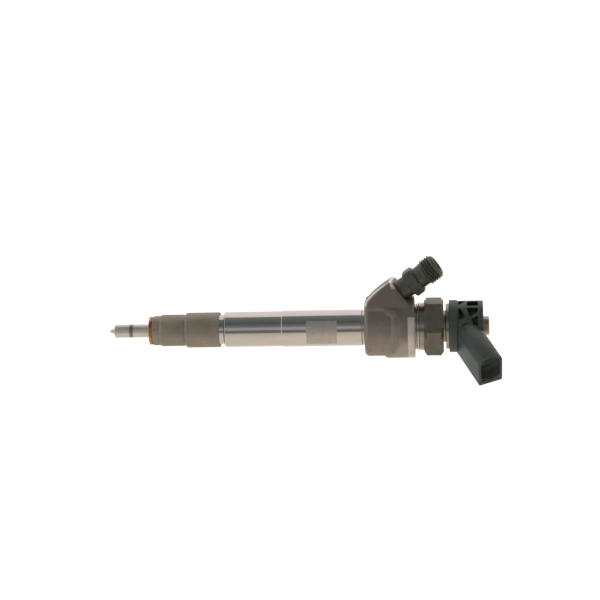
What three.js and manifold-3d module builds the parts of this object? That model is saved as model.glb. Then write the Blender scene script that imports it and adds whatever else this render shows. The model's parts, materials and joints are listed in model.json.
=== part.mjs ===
// Common-rail diesel fuel injector with a solenoid valve.
// Millimetres. The origin is the centre of the sealing washer's lower face, where the injector seats
// in the cylinder head. +Z runs along the injector axis from the spray tip to the connector, and +X
// points the way the electrical socket leans.
import * as THREE from 'three';
import { mergeVertices } from 'three/addons/utils/BufferGeometryUtils.js';
import Module from 'manifold-3d';

// ---------------------------------------------------------------- driving dimensions

const FACETS_LARGE = 36; // sides of the big turned pieces
const FACETS_SMALL = 24; // sides of the valve and nozzle pieces
const FACETS_FINE = 16; // sides of pins, shims and the needle

const STATIC_GAP = 0.1; // radial gap of pieces that are screwed or pushed together
const RUNNING_GAP = 0.05; // radial gap of pieces that slide
const CUT_GAP = 0.3; // gap between a piece and the neighbour that is cut to its shape

const washer = { r: 7.5, boreR: 3.75, thickness: 1.5 };

const nozzle = {
  shaftR: 3.5,
  collarR: 7.15,
  collarLength: 17.0,
  reach: 21.4, // from the seat face down to the spray tip
  coneHeight: 1.1,
  nubR: 1.2,
  nubHeight: 1.7,
  guideR: 2.0, // the needle's guide
  guideLength: 11.0,
  galleryR: 3.4,
  galleryHeight: 2.6,
  stemR: 1.35, // the needle's stem
  fuelGap: 0.4, // annulus round the stem
  feedR: 0.7,
};

const needle = { seatGap: 0.08, journalR: 1.2, journalLength: 1.5 };

const nozzleSpring = {
  meanR: 2.55,
  wireR: 0.55,
  turns: 7,
  length: 13.5,
  seatThickness: 1.8,
  shimThickness: 1.2,
};

const nut = {
  floorThickness: 5.0,
  footR: 7.95,
  footHeight: 4.4,
  footFlats: 14.9, // across the milled flats
  flatsAzimuth: 1.6,
  lowerR: 8.45,
  lowerLength: 17.7, // from the washer up to the wider part
  upperR: 9.35,
  length: 36.5,
  threadR: 8.1,
  edge: 0.8,
};

const pin = { r: 0.75, length: 3.4, circleR: 5.4 };

const shaft = {
  length: 115.6, // from the seat face up to the head
  neckR: 7.85,
  neckLength: 2.4, // seen between the nut and the ground part
  lowerR: 9.375,
  lowerLength: 30.8,
  upperR: 9.625,
  edge: 0.7,
  threadR: 7.95,
  pistonR: 2.15,
  pistonStemR: 1.6,
  springRoomR: 3.75,
  ductR: 1.25,
  ductCircleR: 5.8,
};

const head = {
  height: 26.6,
  lowerR: 15.3,
  upperR: 16.5,
  stepStart: 8.4, // above the head's start
  stepHeight: 3.0,
  edge: 1.4,
  bossAzimuth: -125,
  bossHalfWidth: 12.0,
  bossBulge: 1.0, // how far the boss's back is crowned beyond a straight line
  bossTopReach: 26.2, // from the injector axis to the top of the boss
  bossInnerReach: 6.0,
};

const inlet = {
  azimuth: -116,
  tilt: 35.8, // from the injector axis
  crossing: 7.9, // how far below the head its axis meets the injector axis
  stemStart: 28.0, // the next values are measured along the inlet axis from that point
  bossFace: 33.8,
  hexStart: 39.4,
  hexEnd: 45.2,
  threadStart: 48.9,
  end: 57.8,
  stemR: 5.75,
  hexFlats: 14.0,
  hexAzimuth: 30, // of a corner
  hexEdge: 1.0,
  reliefR: 5.85,
  threadR: 7.0,
  endFaceR: 5.2,
  boreR: 1.25,
  filterRoomR: 2.1,
  filterRoomStart: 35.0,
  seatR: 4.4,
  seatDepth: 4.2,
  filterLength: 15.0,
};

const valve = {
  stemR: 5.2,
  stemLength: 8.0, // from the floor of its bore up to the flange
  flangeR: 6.5,
  flangeThickness: 3.0,
  depth: 11.0, // from the magnet's room down to the flange
  sealThickness: 0.8,
  controlRoomHeight: 4.6,
  throttleR: 0.35,
  seatR: 1.0,
  ballR: 0.7,
  holderR: 1.6,
  holderHeight: 1.4,
  screwLength: 6.5,
  screwBoreR: 4.0,
};

const solenoid = {
  roomDepth: 11.2, // floor of the magnet's room below the head's top
  roomR: 9.5,
  guideThickness: 2.0,
  guideHubLength: 5.2,
  boltR: 1.9,
  boltNeckR: 1.6,
  boltHeadR: 2.1,
  boltHeadHeight: 1.2,
  plateInset: 1.2, // the plate's and the coil's rims inside the core's
  plateThickness: 2.6,
  plateGap: 0.2, // left between the armature plate and the core when the valve is open
  overtravel: 3.0, // height of the overtravel spring
  platePlay: 0.5, // free height of the bolt's neck below the plate
  coreHeight: 11.5,
  coreBoreR: 2.4,
  coilInnerR: 4.6,
  coilInset: 1.8,
  coilRoomHeight: 8.2,
  shimThickness: 1.0,
};

const collar = { wall: 3.35, lidGap: 0.5 }; // the head's threaded end, round the magnet's room

const housing = {
  flangeThickness: 3.9,
  neckInset: 1.0,
  neckTop: 5.6, // above the cap's foot
  returnRoomR: 5.3,
  returnRoomDepth: 8.0,
  returnBoreR: 1.5,
};

const unionNut = { length: 10.2, wall: 1.15, azimuth: 32, edge: 1.2, lidThickness: 3.2 };

const sleeve = { gap: 1.3, width: 3.65, thickness: 1.7 };

const cap = {
  wall: 5.0, // from the magnet's neck out to the drum's surface
  ringRise: 0.5, // how far the ring at the foot stands out of the drum
  ringHeight: 4.2,
  height: 18.0,
  endWall: 2.4, // above the pockets
  ringGap: 0.3, // between the ring and the pockets
  pocketDepth: 2.8,
};

const socket = {
  tilt: 67, // from the injector axis
  crossing: 6.2, // above the cap's foot
  mouth: 38.0, // distance of the mouth along the socket's axis
  depth: 14.0,
  halfWidth: 6.7,
  halfHeight: 9.3,
  archRise: 5.0,
  corner: 1.2,
  innerCorner: 3.4,
  wall: 1.1,
  start: 5.0,
};

const blade = { width: 2.3, thickness: 0.8, spacing: 5.0, start: 9.0, standOut: 7.5 };

const stub = { r: 5.0, rootR: 4.8, standOut: 3.2, boreR: 1.6, lip: 0.6 };

const firstWebAzimuth = -40;

// The webbing is one unit beside the socket, its mirror image behind it and part of a third.
const WEB_UNITS = [
  { offset: 0, direction: 1, pockets: 6 },
  { offset: 170, direction: -1, pockets: 5 },
  { offset: 266, direction: -1, pockets: 4 },
];

// Pockets between the cap's webs, as [azimuth from the first web, share of the height] corners.
const POCKETS = [
  [[57, 0.04], [76, 0.04], [76, 0.4], [71, 0.36]],
  [[53, 0.44], [66, 0.44], [76, 0.56], [76, 0.98], [53, 0.98]],
  [[45, 0.04], [40, 0.18], [20, 0.36], [14.5, 0.04]],
  [[46, 0.4], [46, 0.96], [33.5, 0.96], [21.5, 0.57]],
  [[24, 0.94], [15.5, 0.64], [1, 0.78], [1, 0.98]],
  [[7, 0.35], [5, 0.56], [-7, 0.47], [-9, 0.27], [0, 0.16]],
];

// ---------------------------------------------------------------- sizes that follow

const DEG = Math.PI / 180;
const radians = (turns) => turns * 2 * Math.PI;

const nozzleSeat = washer.thickness + nut.floorThickness; // the collar's shoulder in the nut
const nozzleTop = nozzleSeat + nozzle.collarLength;
const nutTop = washer.thickness + nut.length;
const springSeatStart = nozzleTop + needle.journalLength;
const springStart = springSeatStart + nozzleSpring.seatThickness;
const springEnd = springStart + nozzleSpring.length;
const springRoomTop = springEnd + nozzleSpring.shimThickness;

const headStart = shaft.length;
const headTop = headStart + head.height;
const inletCrossing = headStart - inlet.crossing;

const roomStart = headTop - solenoid.roomDepth;
const flangeStart = roomStart - valve.depth;
const valveStart = flangeStart - valve.stemLength;
const valveBase = valveStart + valve.sealThickness;
const controlRoomTop = valveBase + valve.controlRoomHeight;
const pistonTop = controlRoomTop - 0.8;
const valveTop = flangeStart + valve.flangeThickness;
const ballCentre = valveTop + 0.2;
const holderStart = ballCentre + 0.4;
const boltStart = holderStart + valve.holderHeight;

const guideTop = roomStart + solenoid.guideThickness;
const plateStart = guideTop + solenoid.overtravel;
const plateTop = plateStart + solenoid.plateThickness;
const coreStart = plateTop + solenoid.plateGap;
const coreTop = coreStart + solenoid.coreHeight;
const coreR = solenoid.roomR - STATIC_GAP;
const plateR = coreR - solenoid.plateInset;
const coilOuterR = coreR - solenoid.coilInset;
const neckR = coreR - housing.neckInset;

const housingFlangeTop = coreTop + housing.flangeThickness;
const collarR = solenoid.roomR + collar.wall;
const collarTop = housingFlangeTop - collar.lidGap;
const unionTop = housingFlangeTop + unionNut.lidThickness;
const unionStart = unionTop - unionNut.length;
const unionFlats = 2 * (collarR + unionNut.wall);

const sleeveStart = unionTop + sleeve.gap;
const capStart = sleeveStart + sleeve.thickness;
const capTop = capStart + cap.height;
const capR = neckR + cap.wall;
const capRingR = capR + cap.ringRise;
const capRingTop = capStart + cap.ringHeight;
const neckTop = capStart + housing.neckTop;
const returnRoomStart = neckTop - housing.returnRoomDepth;
const stubTop = capTop + stub.standOut;
const socketCrossing = capStart + socket.crossing;

// ---------------------------------------------------------------- geometry helpers

const wasm = await Module();
wasm.setup();

// Only positions, shared vertices merged, and the collapsed triangles at a pole dropped.
function closed(geometry) {
  const bare = geometry.clone();
  for (const name of Object.keys(bare.attributes)) {
    if (name !== 'position') bare.deleteAttribute(name);
  }
  const merged = mergeVertices(bare, 1e-4);
  const index = merged.index.array;
  const kept = [];
  for (let i = 0; i < index.length; i += 3) {
    const [a, b, c] = [index[i], index[i + 1], index[i + 2]];
    if (a !== b && b !== c && c !== a) kept.push(a, b, c);
  }
  merged.setIndex(kept);
  return merged;
}

function solid(geometry) {
  const mesh = closed(geometry);
  return new wasm.Manifold(new wasm.Mesh({
    numProp: 3,
    vertProperties: Float32Array.from(mesh.attributes.position.array),
    triVerts: Uint32Array.from(mesh.index.array),
  }));
}

function fromSolid(manifold) {
  const mesh = manifold.getMesh();
  const geometry = new THREE.BufferGeometry();
  geometry.setAttribute('position', new THREE.BufferAttribute(Float32Array.from(mesh.vertProperties), 3));
  geometry.setIndex(Array.from(mesh.triVerts));
  return geometry;
}

const cut = (geometry, ...tools) =>
  fromSolid(tools.reduce((rest, tool) => rest.subtract(solid(tool)), solid(geometry)));
const join = (geometry, ...others) =>
  fromSolid(others.reduce((sum, other) => sum.add(solid(other)), solid(geometry)));
const common = (geometry, other) => fromSolid(solid(geometry).intersect(solid(other)));

// A turned solid from [radius, height] points. The profile starts and ends on the axis or is a ring.
function turned(points, facets) {
  let area = 0;
  points.forEach(([r, z], i) => {
    const [nextR, nextZ] = points[(i + 1) % points.length];
    area += r * nextZ - nextR * z;
  });
  const outline = (area > 0 ? points : [...points].reverse()).map(([r, z]) => new THREE.Vector2(r, z));
  const ring = points.every(([r]) => r > 0);
  if (ring) outline.push(outline[0].clone());
  return new THREE.LatheGeometry(outline, facets).rotateX(Math.PI / 2);
}

const ringPiece = (innerR, outerR, low, high, facets) =>
  turned([[innerR, low], [outerR, low], [outerR, high], [innerR, high]], facets);

const rod = (r, low, high, facets) => turned([[0, low], [r, low], [r, high], [0, high]], facets);

// An O-ring: a round section turned about the axis.
function oRing(meanR, sectionR, z, facets) {
  const sides = 6;
  const section = Array.from({ length: sides }, (_, i) => {
    const angle = radians(i / sides);
    return [meanR + sectionR * Math.cos(angle), z + sectionR * Math.sin(angle)];
  });
  return turned(section, facets);
}

class Helix extends THREE.Curve {
  constructor(r, low, high, turns) {
    super();
    Object.assign(this, { r, low, high, turns });
  }

  getPoint(t, target = new THREE.Vector3()) {
    const angle = radians(this.turns * t);
    const z = this.low + (this.high - this.low) * t;
    return target.set(this.r * Math.cos(angle), this.r * Math.sin(angle), z);
  }
}

// A round-wire compression spring that fills the height from low to high.
function spring(meanR, wireR, low, high, turns) {
  const sides = 6;
  const stepsPerTurn = 8;
  const section = new THREE.Shape(Array.from({ length: sides }, (_, i) => {
    const angle = radians(i / sides);
    return new THREE.Vector2(wireR * Math.cos(angle), wireR * Math.sin(angle));
  }));
  return new THREE.ExtrudeGeometry(section, {
    steps: Math.round(turns * stepsPerTurn),
    extrudePath: new Helix(meanR, low + 1.2 * wireR, high - 1.2 * wireR, turns),
  });
}

// A hexagonal bar about the axis with a corner at that azimuth, its two ends chamfered to a cone.
function hexagon(flats, low, high, azimuth, edge) {
  const cornerR = flats / 2 / Math.cos(30 * DEG);
  const bar = rod(cornerR, low, high, 6).rotateZ((azimuth + 90) * DEG);
  const faceR = flats / 2 - 0.1;
  const rise = edge * 0.6;
  const cone = turned([
    [0, low],
    [faceR, low],
    [cornerR + 0.01, low + rise],
    [cornerR + 0.01, high - rise],
    [faceR, high],
    [0, high],
  ], FACETS_SMALL);
  return common(bar, cone);
}

// A prism between two radii whose outline is given as [azimuth, height] corners.
function pocketTool(corners, innerR, outerR) {
  const outline = corners.map(([azimuth, z]) => new THREE.Vector2(azimuth, z));
  if (THREE.ShapeUtils.isClockWise(outline)) outline.reverse();
  const count = outline.length;
  const positions = [innerR, outerR].flatMap((r) => outline.flatMap(({ x, y }) =>
    [r * Math.cos(x * DEG), r * Math.sin(x * DEG), y]));
  const faces = [];
  for (const [a, b, c] of THREE.ShapeUtils.triangulateShape(outline, [])) {
    faces.push(c, b, a, count + a, count + b, count + c);
  }
  for (let i = 0; i < count; i++) {
    const j = (i + 1) % count;
    faces.push(i, j, count + j, i, count + j, count + i);
  }
  const geometry = new THREE.BufferGeometry();
  geometry.setAttribute('position', new THREE.BufferAttribute(new Float32Array(positions), 3));
  geometry.setIndex(faces);
  return geometry;
}

// ---------------------------------------------------------------- scene graph

const injector = new THREE.Group();
const inletGroup = new THREE.Group(); // its +Z is the inlet axis
inletGroup.position.set(0, 0, inletCrossing);
inletGroup.rotation.set(0, inlet.tilt * DEG, inlet.azimuth * DEG, 'ZYX');
const socketGroup = new THREE.Group(); // its +Z is the socket axis
socketGroup.position.set(0, 0, socketCrossing);
socketGroup.rotation.set(0, socket.tilt * DEG, 0);
injector.add(inletGroup, socketGroup);
injector.updateMatrixWorld(true);

function add(name, geometry, material, group = injector) {
  const mesh = new THREE.Mesh(closed(geometry), new THREE.MeshStandardMaterial(material));
  mesh.name = name;
  group.add(mesh);
}

const STEEL_GROUND = { color: 0xa9a8a2, roughness: 0.22, metalness: 1 };
const STEEL_DARK = { color: 0x5b564b, roughness: 0.45, metalness: 0.9 };
const STEEL_OLIVE = { color: 0x4d4b44, roughness: 0.5, metalness: 0.8 };
const STEEL_BRIGHT = { color: 0xb8b4aa, roughness: 0.3, metalness: 1 };
const STEEL_BROWN = { color: 0x6e604c, roughness: 0.4, metalness: 0.9 };
const STEEL_HARD = { color: 0x8c8c8a, roughness: 0.25, metalness: 1 };
const SPRING_STEEL = { color: 0x77777a, roughness: 0.35, metalness: 1 };
const COPPER = { color: 0xc46f4c, roughness: 0.35, metalness: 1 };
const SOFT_IRON = { color: 0x6b6b6e, roughness: 0.5, metalness: 0.9 };
const RUBBER = { color: 0x1c1c1c, roughness: 0.8, metalness: 0 };
const PLASTIC = { color: 0x4a5452, roughness: 0.55, metalness: 0 };
const BOBBIN_PLASTIC = { color: 0x8a7a52, roughness: 0.6, metalness: 0 };
const TINNED = { color: 0xc9c6bd, roughness: 0.3, metalness: 1 };

// ---------------------------------------------------------------- nozzle

// The copper washer that seals the injector against the cylinder head.
add('sealing_washer', ringPiece(washer.boreR, washer.r, 0, washer.thickness, FACETS_LARGE), COPPER);

// The nozzle body: a long shaft with the spray tip, and a collar that the nut pulls up.
const tip = -nozzle.reach;
const coneTop = tip + nozzle.nubHeight + nozzle.coneHeight;
const nozzleBoreR = nozzle.guideR + RUNNING_GAP;
const fuelR = nozzle.stemR + nozzle.fuelGap;
const galleryTop = nozzleTop - nozzle.guideLength;
const seatSlope = Math.tan(30 * DEG);
const sacR = 0.5;
const seatTop = coneTop + 2.0;
const seatBottom = seatTop - (fuelR - sacR) / seatSlope;
const feedTop = new THREE.Vector3(shaft.ductCircleR, 0, nozzleTop);
const feedEnd = new THREE.Vector3(nozzle.guideR, 0, galleryTop - nozzle.galleryHeight / 2);
const feedAxis = feedTop.clone().sub(feedEnd);
const feedTurn = new THREE.Quaternion().setFromUnitVectors(
  new THREE.Vector3(0, 1, 0), feedAxis.clone().normalize());
const feedHole = new THREE.CylinderGeometry(nozzle.feedR, nozzle.feedR, feedAxis.length() * 1.04, 8)
  .applyQuaternion(feedTurn)
  .translate(...feedEnd.clone().addScaledVector(feedAxis, 0.52).toArray())
  .rotateZ(inlet.azimuth * DEG);

// The two pins that turn the nozzle to its place sit half in the nozzle and half in the body.
const pinAzimuths = [inlet.azimuth + 100, inlet.azimuth + 240];
const pinHole = (azimuth) => rod(pin.r + STATIC_GAP, nozzleTop - pin.length / 2 - STATIC_GAP,
  nozzleTop + pin.length / 2 + STATIC_GAP, FACETS_FINE)
  .translate(pin.circleR, 0, 0)
  .rotateZ(azimuth * DEG);

add('nozzle_body', cut(turned([
  [0, tip],
  [nozzle.nubR * 0.55, tip + 0.15],
  [nozzle.nubR, tip + 0.9],
  [nozzle.nubR, tip + nozzle.nubHeight],
  [nozzle.shaftR, coneTop],
  [nozzle.shaftR, nozzleSeat],
  [nozzle.collarR, nozzleSeat],
  [nozzle.collarR, nozzleTop],
  [nozzleBoreR, nozzleTop],
  [nozzleBoreR, galleryTop],
  [nozzle.galleryR, galleryTop - 0.6],
  [nozzle.galleryR, galleryTop - nozzle.galleryHeight],
  [fuelR, galleryTop - nozzle.galleryHeight - 0.9],
  [fuelR, seatTop],
  [sacR, seatBottom],
  [0, seatBottom - 0.5],
], FACETS_SMALL), feedHole, ...pinAzimuths.map(pinHole)), STEEL_DARK);

const needleSeat = seatBottom + needle.seatGap;
const needleTop = springSeatStart;
add('nozzle_needle', turned([
  [0, needleSeat - sacR / seatSlope * 0.3],
  [sacR * 0.7, needleSeat - sacR * 0.3 / seatSlope * 0.5],
  [nozzle.stemR, needleSeat + (nozzle.stemR - sacR) / seatSlope],
  [nozzle.stemR, galleryTop - 0.4],
  [nozzle.guideR, galleryTop + 0.4],
  [nozzle.guideR, nozzleTop - 0.5],
  [needle.journalR, nozzleTop - 0.5],
  [needle.journalR, needleTop],
  [0, needleTop],
], FACETS_FINE), STEEL_HARD);

const springSeatR = nozzleSpring.meanR + nozzleSpring.wireR + STATIC_GAP;
add('nozzle_spring_seat', rod(springSeatR, springSeatStart, springStart, FACETS_FINE), STEEL_HARD);
add('nozzle_spring',
  spring(nozzleSpring.meanR, nozzleSpring.wireR, springStart, springEnd, nozzleSpring.turns),
  SPRING_STEEL);
add('nozzle_spring_shim',
  ringPiece(shaft.pistonR, springSeatR + STATIC_GAP, springEnd, springRoomTop, FACETS_FINE),
  STEEL_HARD);

pinAzimuths.forEach((azimuth, i) => {
  add(`locating_pin_${i + 1}`, rod(pin.r, nozzleTop - pin.length / 2, nozzleTop + pin.length / 2, FACETS_FINE)
    .translate(pin.circleR, 0, 0)
    .rotateZ(azimuth * DEG), STEEL_HARD);
});

// The nut that clamps the nozzle to the body. Its foot has six milled flats.
const footTop = washer.thickness + nut.footHeight;
const nutStep = washer.thickness + nut.lowerLength;
const nutShell = turned([
  [nozzle.shaftR + STATIC_GAP, washer.thickness],
  [nut.footR - nut.edge, washer.thickness],
  [nut.footR, washer.thickness + nut.edge],
  [nut.footR, footTop],
  [nut.lowerR, footTop + 1],
  [nut.lowerR, nutStep],
  [nut.upperR, nutStep + 1],
  [nut.upperR, nutTop - nut.edge / 2],
  [nut.upperR - nut.edge / 2, nutTop],
  [nut.threadR, nutTop],
  [nut.threadR, nozzleTop - 0.4],
  [nozzle.collarR + STATIC_GAP, nozzleTop - 0.4],
  [nozzle.collarR + STATIC_GAP, nozzleSeat],
  [nozzle.shaftR + STATIC_GAP, nozzleSeat],
], FACETS_LARGE);
const flatTool = (azimuth) => new THREE.BoxGeometry(4, nut.footR * 2, nut.footHeight * 2)
  .translate(nut.footFlats / 2 + 2, 0, footTop - nut.footHeight)
  .rotateZ(azimuth * DEG);
const flatTools = [0, 1, 2, 3, 4, 5].map((i) => flatTool(nut.flatsAzimuth + i * 60));
add('nozzle_retaining_nut', cut(nutShell, ...flatTools), STEEL_DARK);

// ---------------------------------------------------------------- body

// The piston that passes the control pressure down to the needle.
add('control_piston', turned([
  [0, springStart],
  [shaft.pistonStemR, springStart],
  [shaft.pistonStemR, springRoomTop + 1.5],
  [shaft.pistonR, springRoomTop + 2],
  [shaft.pistonR, pistonTop - 0.3],
  [shaft.pistonR - 0.3, pistonTop],
  [0, pistonTop],
], FACETS_FINE), STEEL_HARD);

// The forged and ground body: a long shaft, and a head with the fuel boss and the threaded collar.
const inletMatrix = inletGroup.matrixWorld;
const height = (distance) => inletCrossing + distance * Math.cos(inlet.tilt * DEG);
const faceHeightAt = (reach) => inletCrossing
  + (inlet.bossFace - reach * Math.sin(inlet.tilt * DEG)) / Math.cos(inlet.tilt * DEG);

// The boss in the plane of its azimuth. Its top is left square, for the slanted face to be cut.
function bossOutline() {
  const foot = new THREE.Vector2(head.lowerR - head.edge, headStart);
  const apex = new THREE.Vector2(head.bossTopReach, faceHeightAt(head.bossTopReach));
  const outwards = new THREE.Vector2(apex.y - foot.y, foot.x - apex.x).normalize();
  const middle = foot.clone().lerp(apex, 0.45).addScaledVector(outwards, head.bossBulge * 2);
  const top = headTop - head.edge;
  return new THREE.Shape([
    new THREE.Vector2(head.bossInnerReach, headStart),
    ...new THREE.QuadraticBezierCurve(foot, middle, apex).getPoints(6),
    new THREE.Vector2(head.bossTopReach, top),
    new THREE.Vector2(head.bossInnerReach, top),
  ]);
}

const boss = new THREE.ExtrudeGeometry(bossOutline(), { depth: head.bossHalfWidth * 2, bevelEnabled: false })
  .translate(0, 0, -head.bossHalfWidth)
  .rotateX(Math.PI / 2)
  .rotateZ(head.bossAzimuth * DEG);
const faceTool = new THREE.BoxGeometry(60, 60, 20)
  .translate(0, 0, inlet.bossFace + 10)
  .applyMatrix4(inletMatrix);

const lowerStart = nutTop + shaft.neckLength;
const shaftStep = lowerStart + shaft.lowerLength;
const bodyShell = turned([
  [0, nozzleTop],
  [shaft.threadR, nozzleTop],
  [shaft.threadR, nutTop],
  [shaft.neckR, nutTop + 0.3],
  [shaft.neckR, lowerStart],
  [shaft.lowerR - shaft.edge, lowerStart],
  [shaft.lowerR, lowerStart + shaft.edge],
  [shaft.lowerR, shaftStep],
  [shaft.upperR, shaftStep + shaft.edge],
  [shaft.upperR, headStart],
  [head.lowerR - head.edge, headStart],
  [head.lowerR, headStart + head.edge],
  [head.lowerR, headStart + head.stepStart],
  [head.upperR, headStart + head.stepStart + head.stepHeight],
  [head.upperR, headTop - head.edge / 3],
  [head.upperR - head.edge / 3, headTop],
  [collarR, headTop],
  [collarR, collarTop],
  [0, collarTop],
], FACETS_LARGE);

const bodyBore = turned([
  [0, nozzleTop - 1],
  [shaft.springRoomR, nozzleTop - 1],
  [shaft.springRoomR, springRoomTop],
  [shaft.pistonR + RUNNING_GAP, springRoomTop],
  [shaft.pistonR + RUNNING_GAP, valveStart],
  [valve.stemR + STATIC_GAP, valveStart],
  [valve.stemR + STATIC_GAP, flangeStart],
  [valve.flangeR + STATIC_GAP, flangeStart],
  [valve.flangeR + STATIC_GAP, roomStart],
  [solenoid.roomR, roomStart],
  [solenoid.roomR, collarTop + 1],
  [0, collarTop + 1],
], FACETS_SMALL);

const ductMeeting = shaft.ductCircleR / Math.sin(inlet.tilt * DEG);
const fuelDuct = rod(shaft.ductR, nozzleTop - 1, height(ductMeeting), 12)
  .translate(shaft.ductCircleR, 0, 0)
  .rotateZ(inlet.azimuth * DEG);
const inletBore = join(
  rod(inlet.stemR + CUT_GAP, inlet.stemStart, inlet.bossFace + 8, FACETS_SMALL),
  rod(shaft.ductR, ductMeeting - shaft.ductR, inlet.stemStart + 1, 12),
).applyMatrix4(inletMatrix);

const forging = join(bodyShell, cut(boss, faceTool));
add('injector_body',
  cut(forging, bodyBore, fuelDuct, inletBore, ...pinAzimuths.map(pinHole)),
  STEEL_GROUND);

// The high-pressure connection, screwed into the boss.
const inletStart = inlet.stemStart + CUT_GAP;
const filterRoomEnd = inlet.end - inlet.seatDepth;
const inletShell = turned([
  [0, inletStart],
  [inlet.stemR, inletStart],
  [inlet.stemR, inlet.hexEnd],
  [inlet.reliefR, inlet.hexEnd],
  [inlet.reliefR, inlet.threadStart],
  [inlet.threadR, inlet.threadStart + inlet.threadR - inlet.reliefR],
  [inlet.threadR, inlet.end - (inlet.threadR - inlet.endFaceR)],
  [inlet.endFaceR, inlet.end],
  [0, inlet.end],
], FACETS_SMALL);
const inletPassage = turned([
  [0, inletStart - 1],
  [inlet.boreR, inletStart - 1],
  [inlet.boreR, inlet.filterRoomStart],
  [inlet.filterRoomR, inlet.filterRoomStart],
  [inlet.filterRoomR, filterRoomEnd],
  [inlet.seatR, inlet.end],
  [inlet.seatR, inlet.end + 1],
  [0, inlet.end + 1],
], FACETS_SMALL);
const inletHexagon = hexagon(inlet.hexFlats, inlet.hexStart, inlet.hexEnd, inlet.hexAzimuth, inlet.hexEdge);
add('fuel_inlet_connector', cut(join(inletShell, inletHexagon), inletPassage), STEEL_OLIVE, inletGroup);

// The rod-shaped edge filter in the connection's bore.
const filterStart = inlet.filterRoomStart + CUT_GAP;
add('edge_filter', turned([
  [0, filterStart],
  [inlet.boreR, filterStart],
  [inlet.filterRoomR - CUT_GAP, filterStart + 1],
  [inlet.filterRoomR - CUT_GAP, filterStart + inlet.filterLength - 1],
  [inlet.boreR, filterStart + inlet.filterLength],
  [0, filterStart + inlet.filterLength],
], 12), STEEL_HARD, inletGroup);

// ---------------------------------------------------------------- servo valve

add('valve_seal_ring',
  ringPiece(shaft.pistonR + 0.45, valve.stemR, valveStart, valveBase, FACETS_SMALL),
  COPPER);

const throttleTop = valveTop - 0.5;
add('valve_piece', turned([
  [valve.throttleR, throttleTop],
  [valve.throttleR, controlRoomTop],
  [shaft.pistonR + RUNNING_GAP, controlRoomTop],
  [shaft.pistonR + RUNNING_GAP, valveBase],
  [valve.stemR, valveBase],
  [valve.stemR, flangeStart],
  [valve.flangeR, flangeStart],
  [valve.flangeR, valveTop],
  [valve.seatR, valveTop],
], FACETS_SMALL), STEEL_HARD);

add('valve_clamp_screw',
  ringPiece(valve.screwBoreR, valve.flangeR, valveTop, valveTop + valve.screwLength, FACETS_SMALL),
  STEEL_DARK);

add('valve_ball',
  new THREE.SphereGeometry(valve.ballR, 12, 8).rotateX(Math.PI / 2).translate(0, 0, ballCentre),
  STEEL_HARD);
add('ball_holder', turned([
  [0, ballCentre + valve.ballR + 0.12],
  [valve.ballR + 0.1, holderStart],
  [valve.holderR, holderStart],
  [valve.holderR, boltStart],
  [0, boltStart],
], 12), STEEL_HARD);

// ---------------------------------------------------------------- armature and magnet

const boltHeadTop = plateTop + solenoid.boltHeadHeight;
add('armature_bolt', turned([
  [0, boltStart],
  [solenoid.boltR, boltStart],
  [solenoid.boltR, plateStart - solenoid.platePlay],
  [solenoid.boltNeckR, plateStart - solenoid.platePlay],
  [solenoid.boltNeckR, plateTop],
  [solenoid.boltHeadR, plateTop],
  [solenoid.boltHeadR, boltHeadTop],
  [0, boltHeadTop],
], FACETS_FINE), STEEL_HARD);

const hubR = valve.screwBoreR - STATIC_GAP;
const guideShell = turned([
  [solenoid.boltR + RUNNING_GAP, roomStart - solenoid.guideHubLength],
  [hubR, roomStart - solenoid.guideHubLength],
  [hubR, roomStart],
  [coreR, roomStart],
  [coreR, guideTop],
  [solenoid.boltR + RUNNING_GAP, guideTop],
], FACETS_SMALL);
const passageAzimuths = [0, 120, 240];
const passage = (azimuth) => rod(0.9, roomStart - 1, guideTop + 1, 8)
  .translate((hubR + valve.flangeR) / 2, 0, 0)
  .rotateZ(azimuth * DEG);
add('armature_guide', cut(guideShell, ...passageAzimuths.map(passage)), STEEL_HARD);

add('overtravel_spring', spring(3.2, 0.35, guideTop, plateStart, 2.5), SPRING_STEEL);

const plateBoreR = solenoid.boltNeckR + RUNNING_GAP;
const slotTool = (azimuth) => new THREE.BoxGeometry(plateR, 1.6, solenoid.plateThickness * 2)
  .translate(plateR / 2 + 4.4, 0, plateStart)
  .rotateZ(azimuth * DEG);
add('armature_plate', cut(
  ringPiece(plateBoreR, plateR, plateStart, plateTop, FACETS_SMALL), ...passageAzimuths.map(slotTool)),
SOFT_IRON);

add('lift_shim', ringPiece(plateR + 0.5, coreR, guideTop, coreStart, FACETS_SMALL), STEEL_HARD);

add('magnet_core', turned([
  [solenoid.coreBoreR, coreStart],
  [solenoid.coilInnerR, coreStart],
  [solenoid.coilInnerR, coreStart + solenoid.coilRoomHeight],
  [coilOuterR, coreStart + solenoid.coilRoomHeight],
  [coilOuterR, coreStart],
  [coreR, coreStart],
  [coreR, coreTop],
  [solenoid.coreBoreR, coreTop],
], FACETS_SMALL), SOFT_IRON);

const spoolInnerR = solenoid.coilInnerR + STATIC_GAP;
const spoolOuterR = coilOuterR - STATIC_GAP;
const spoolLow = coreStart + 0.2;
const spoolHigh = coreStart + solenoid.coilRoomHeight - 0.2;
const spoolWall = 0.6;
add('coil_bobbin', turned([
  [spoolInnerR, spoolLow],
  [spoolOuterR, spoolLow],
  [spoolOuterR, spoolLow + spoolWall],
  [spoolInnerR + spoolWall, spoolLow + spoolWall],
  [spoolInnerR + spoolWall, spoolHigh - spoolWall],
  [spoolOuterR, spoolHigh - spoolWall],
  [spoolOuterR, spoolHigh],
  [spoolInnerR, spoolHigh],
], FACETS_SMALL), BOBBIN_PLASTIC);
add('coil_winding', ringPiece(spoolInnerR + spoolWall, spoolOuterR - STATIC_GAP, spoolLow + spoolWall,
  spoolHigh - spoolWall, FACETS_SMALL), COPPER);

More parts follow.
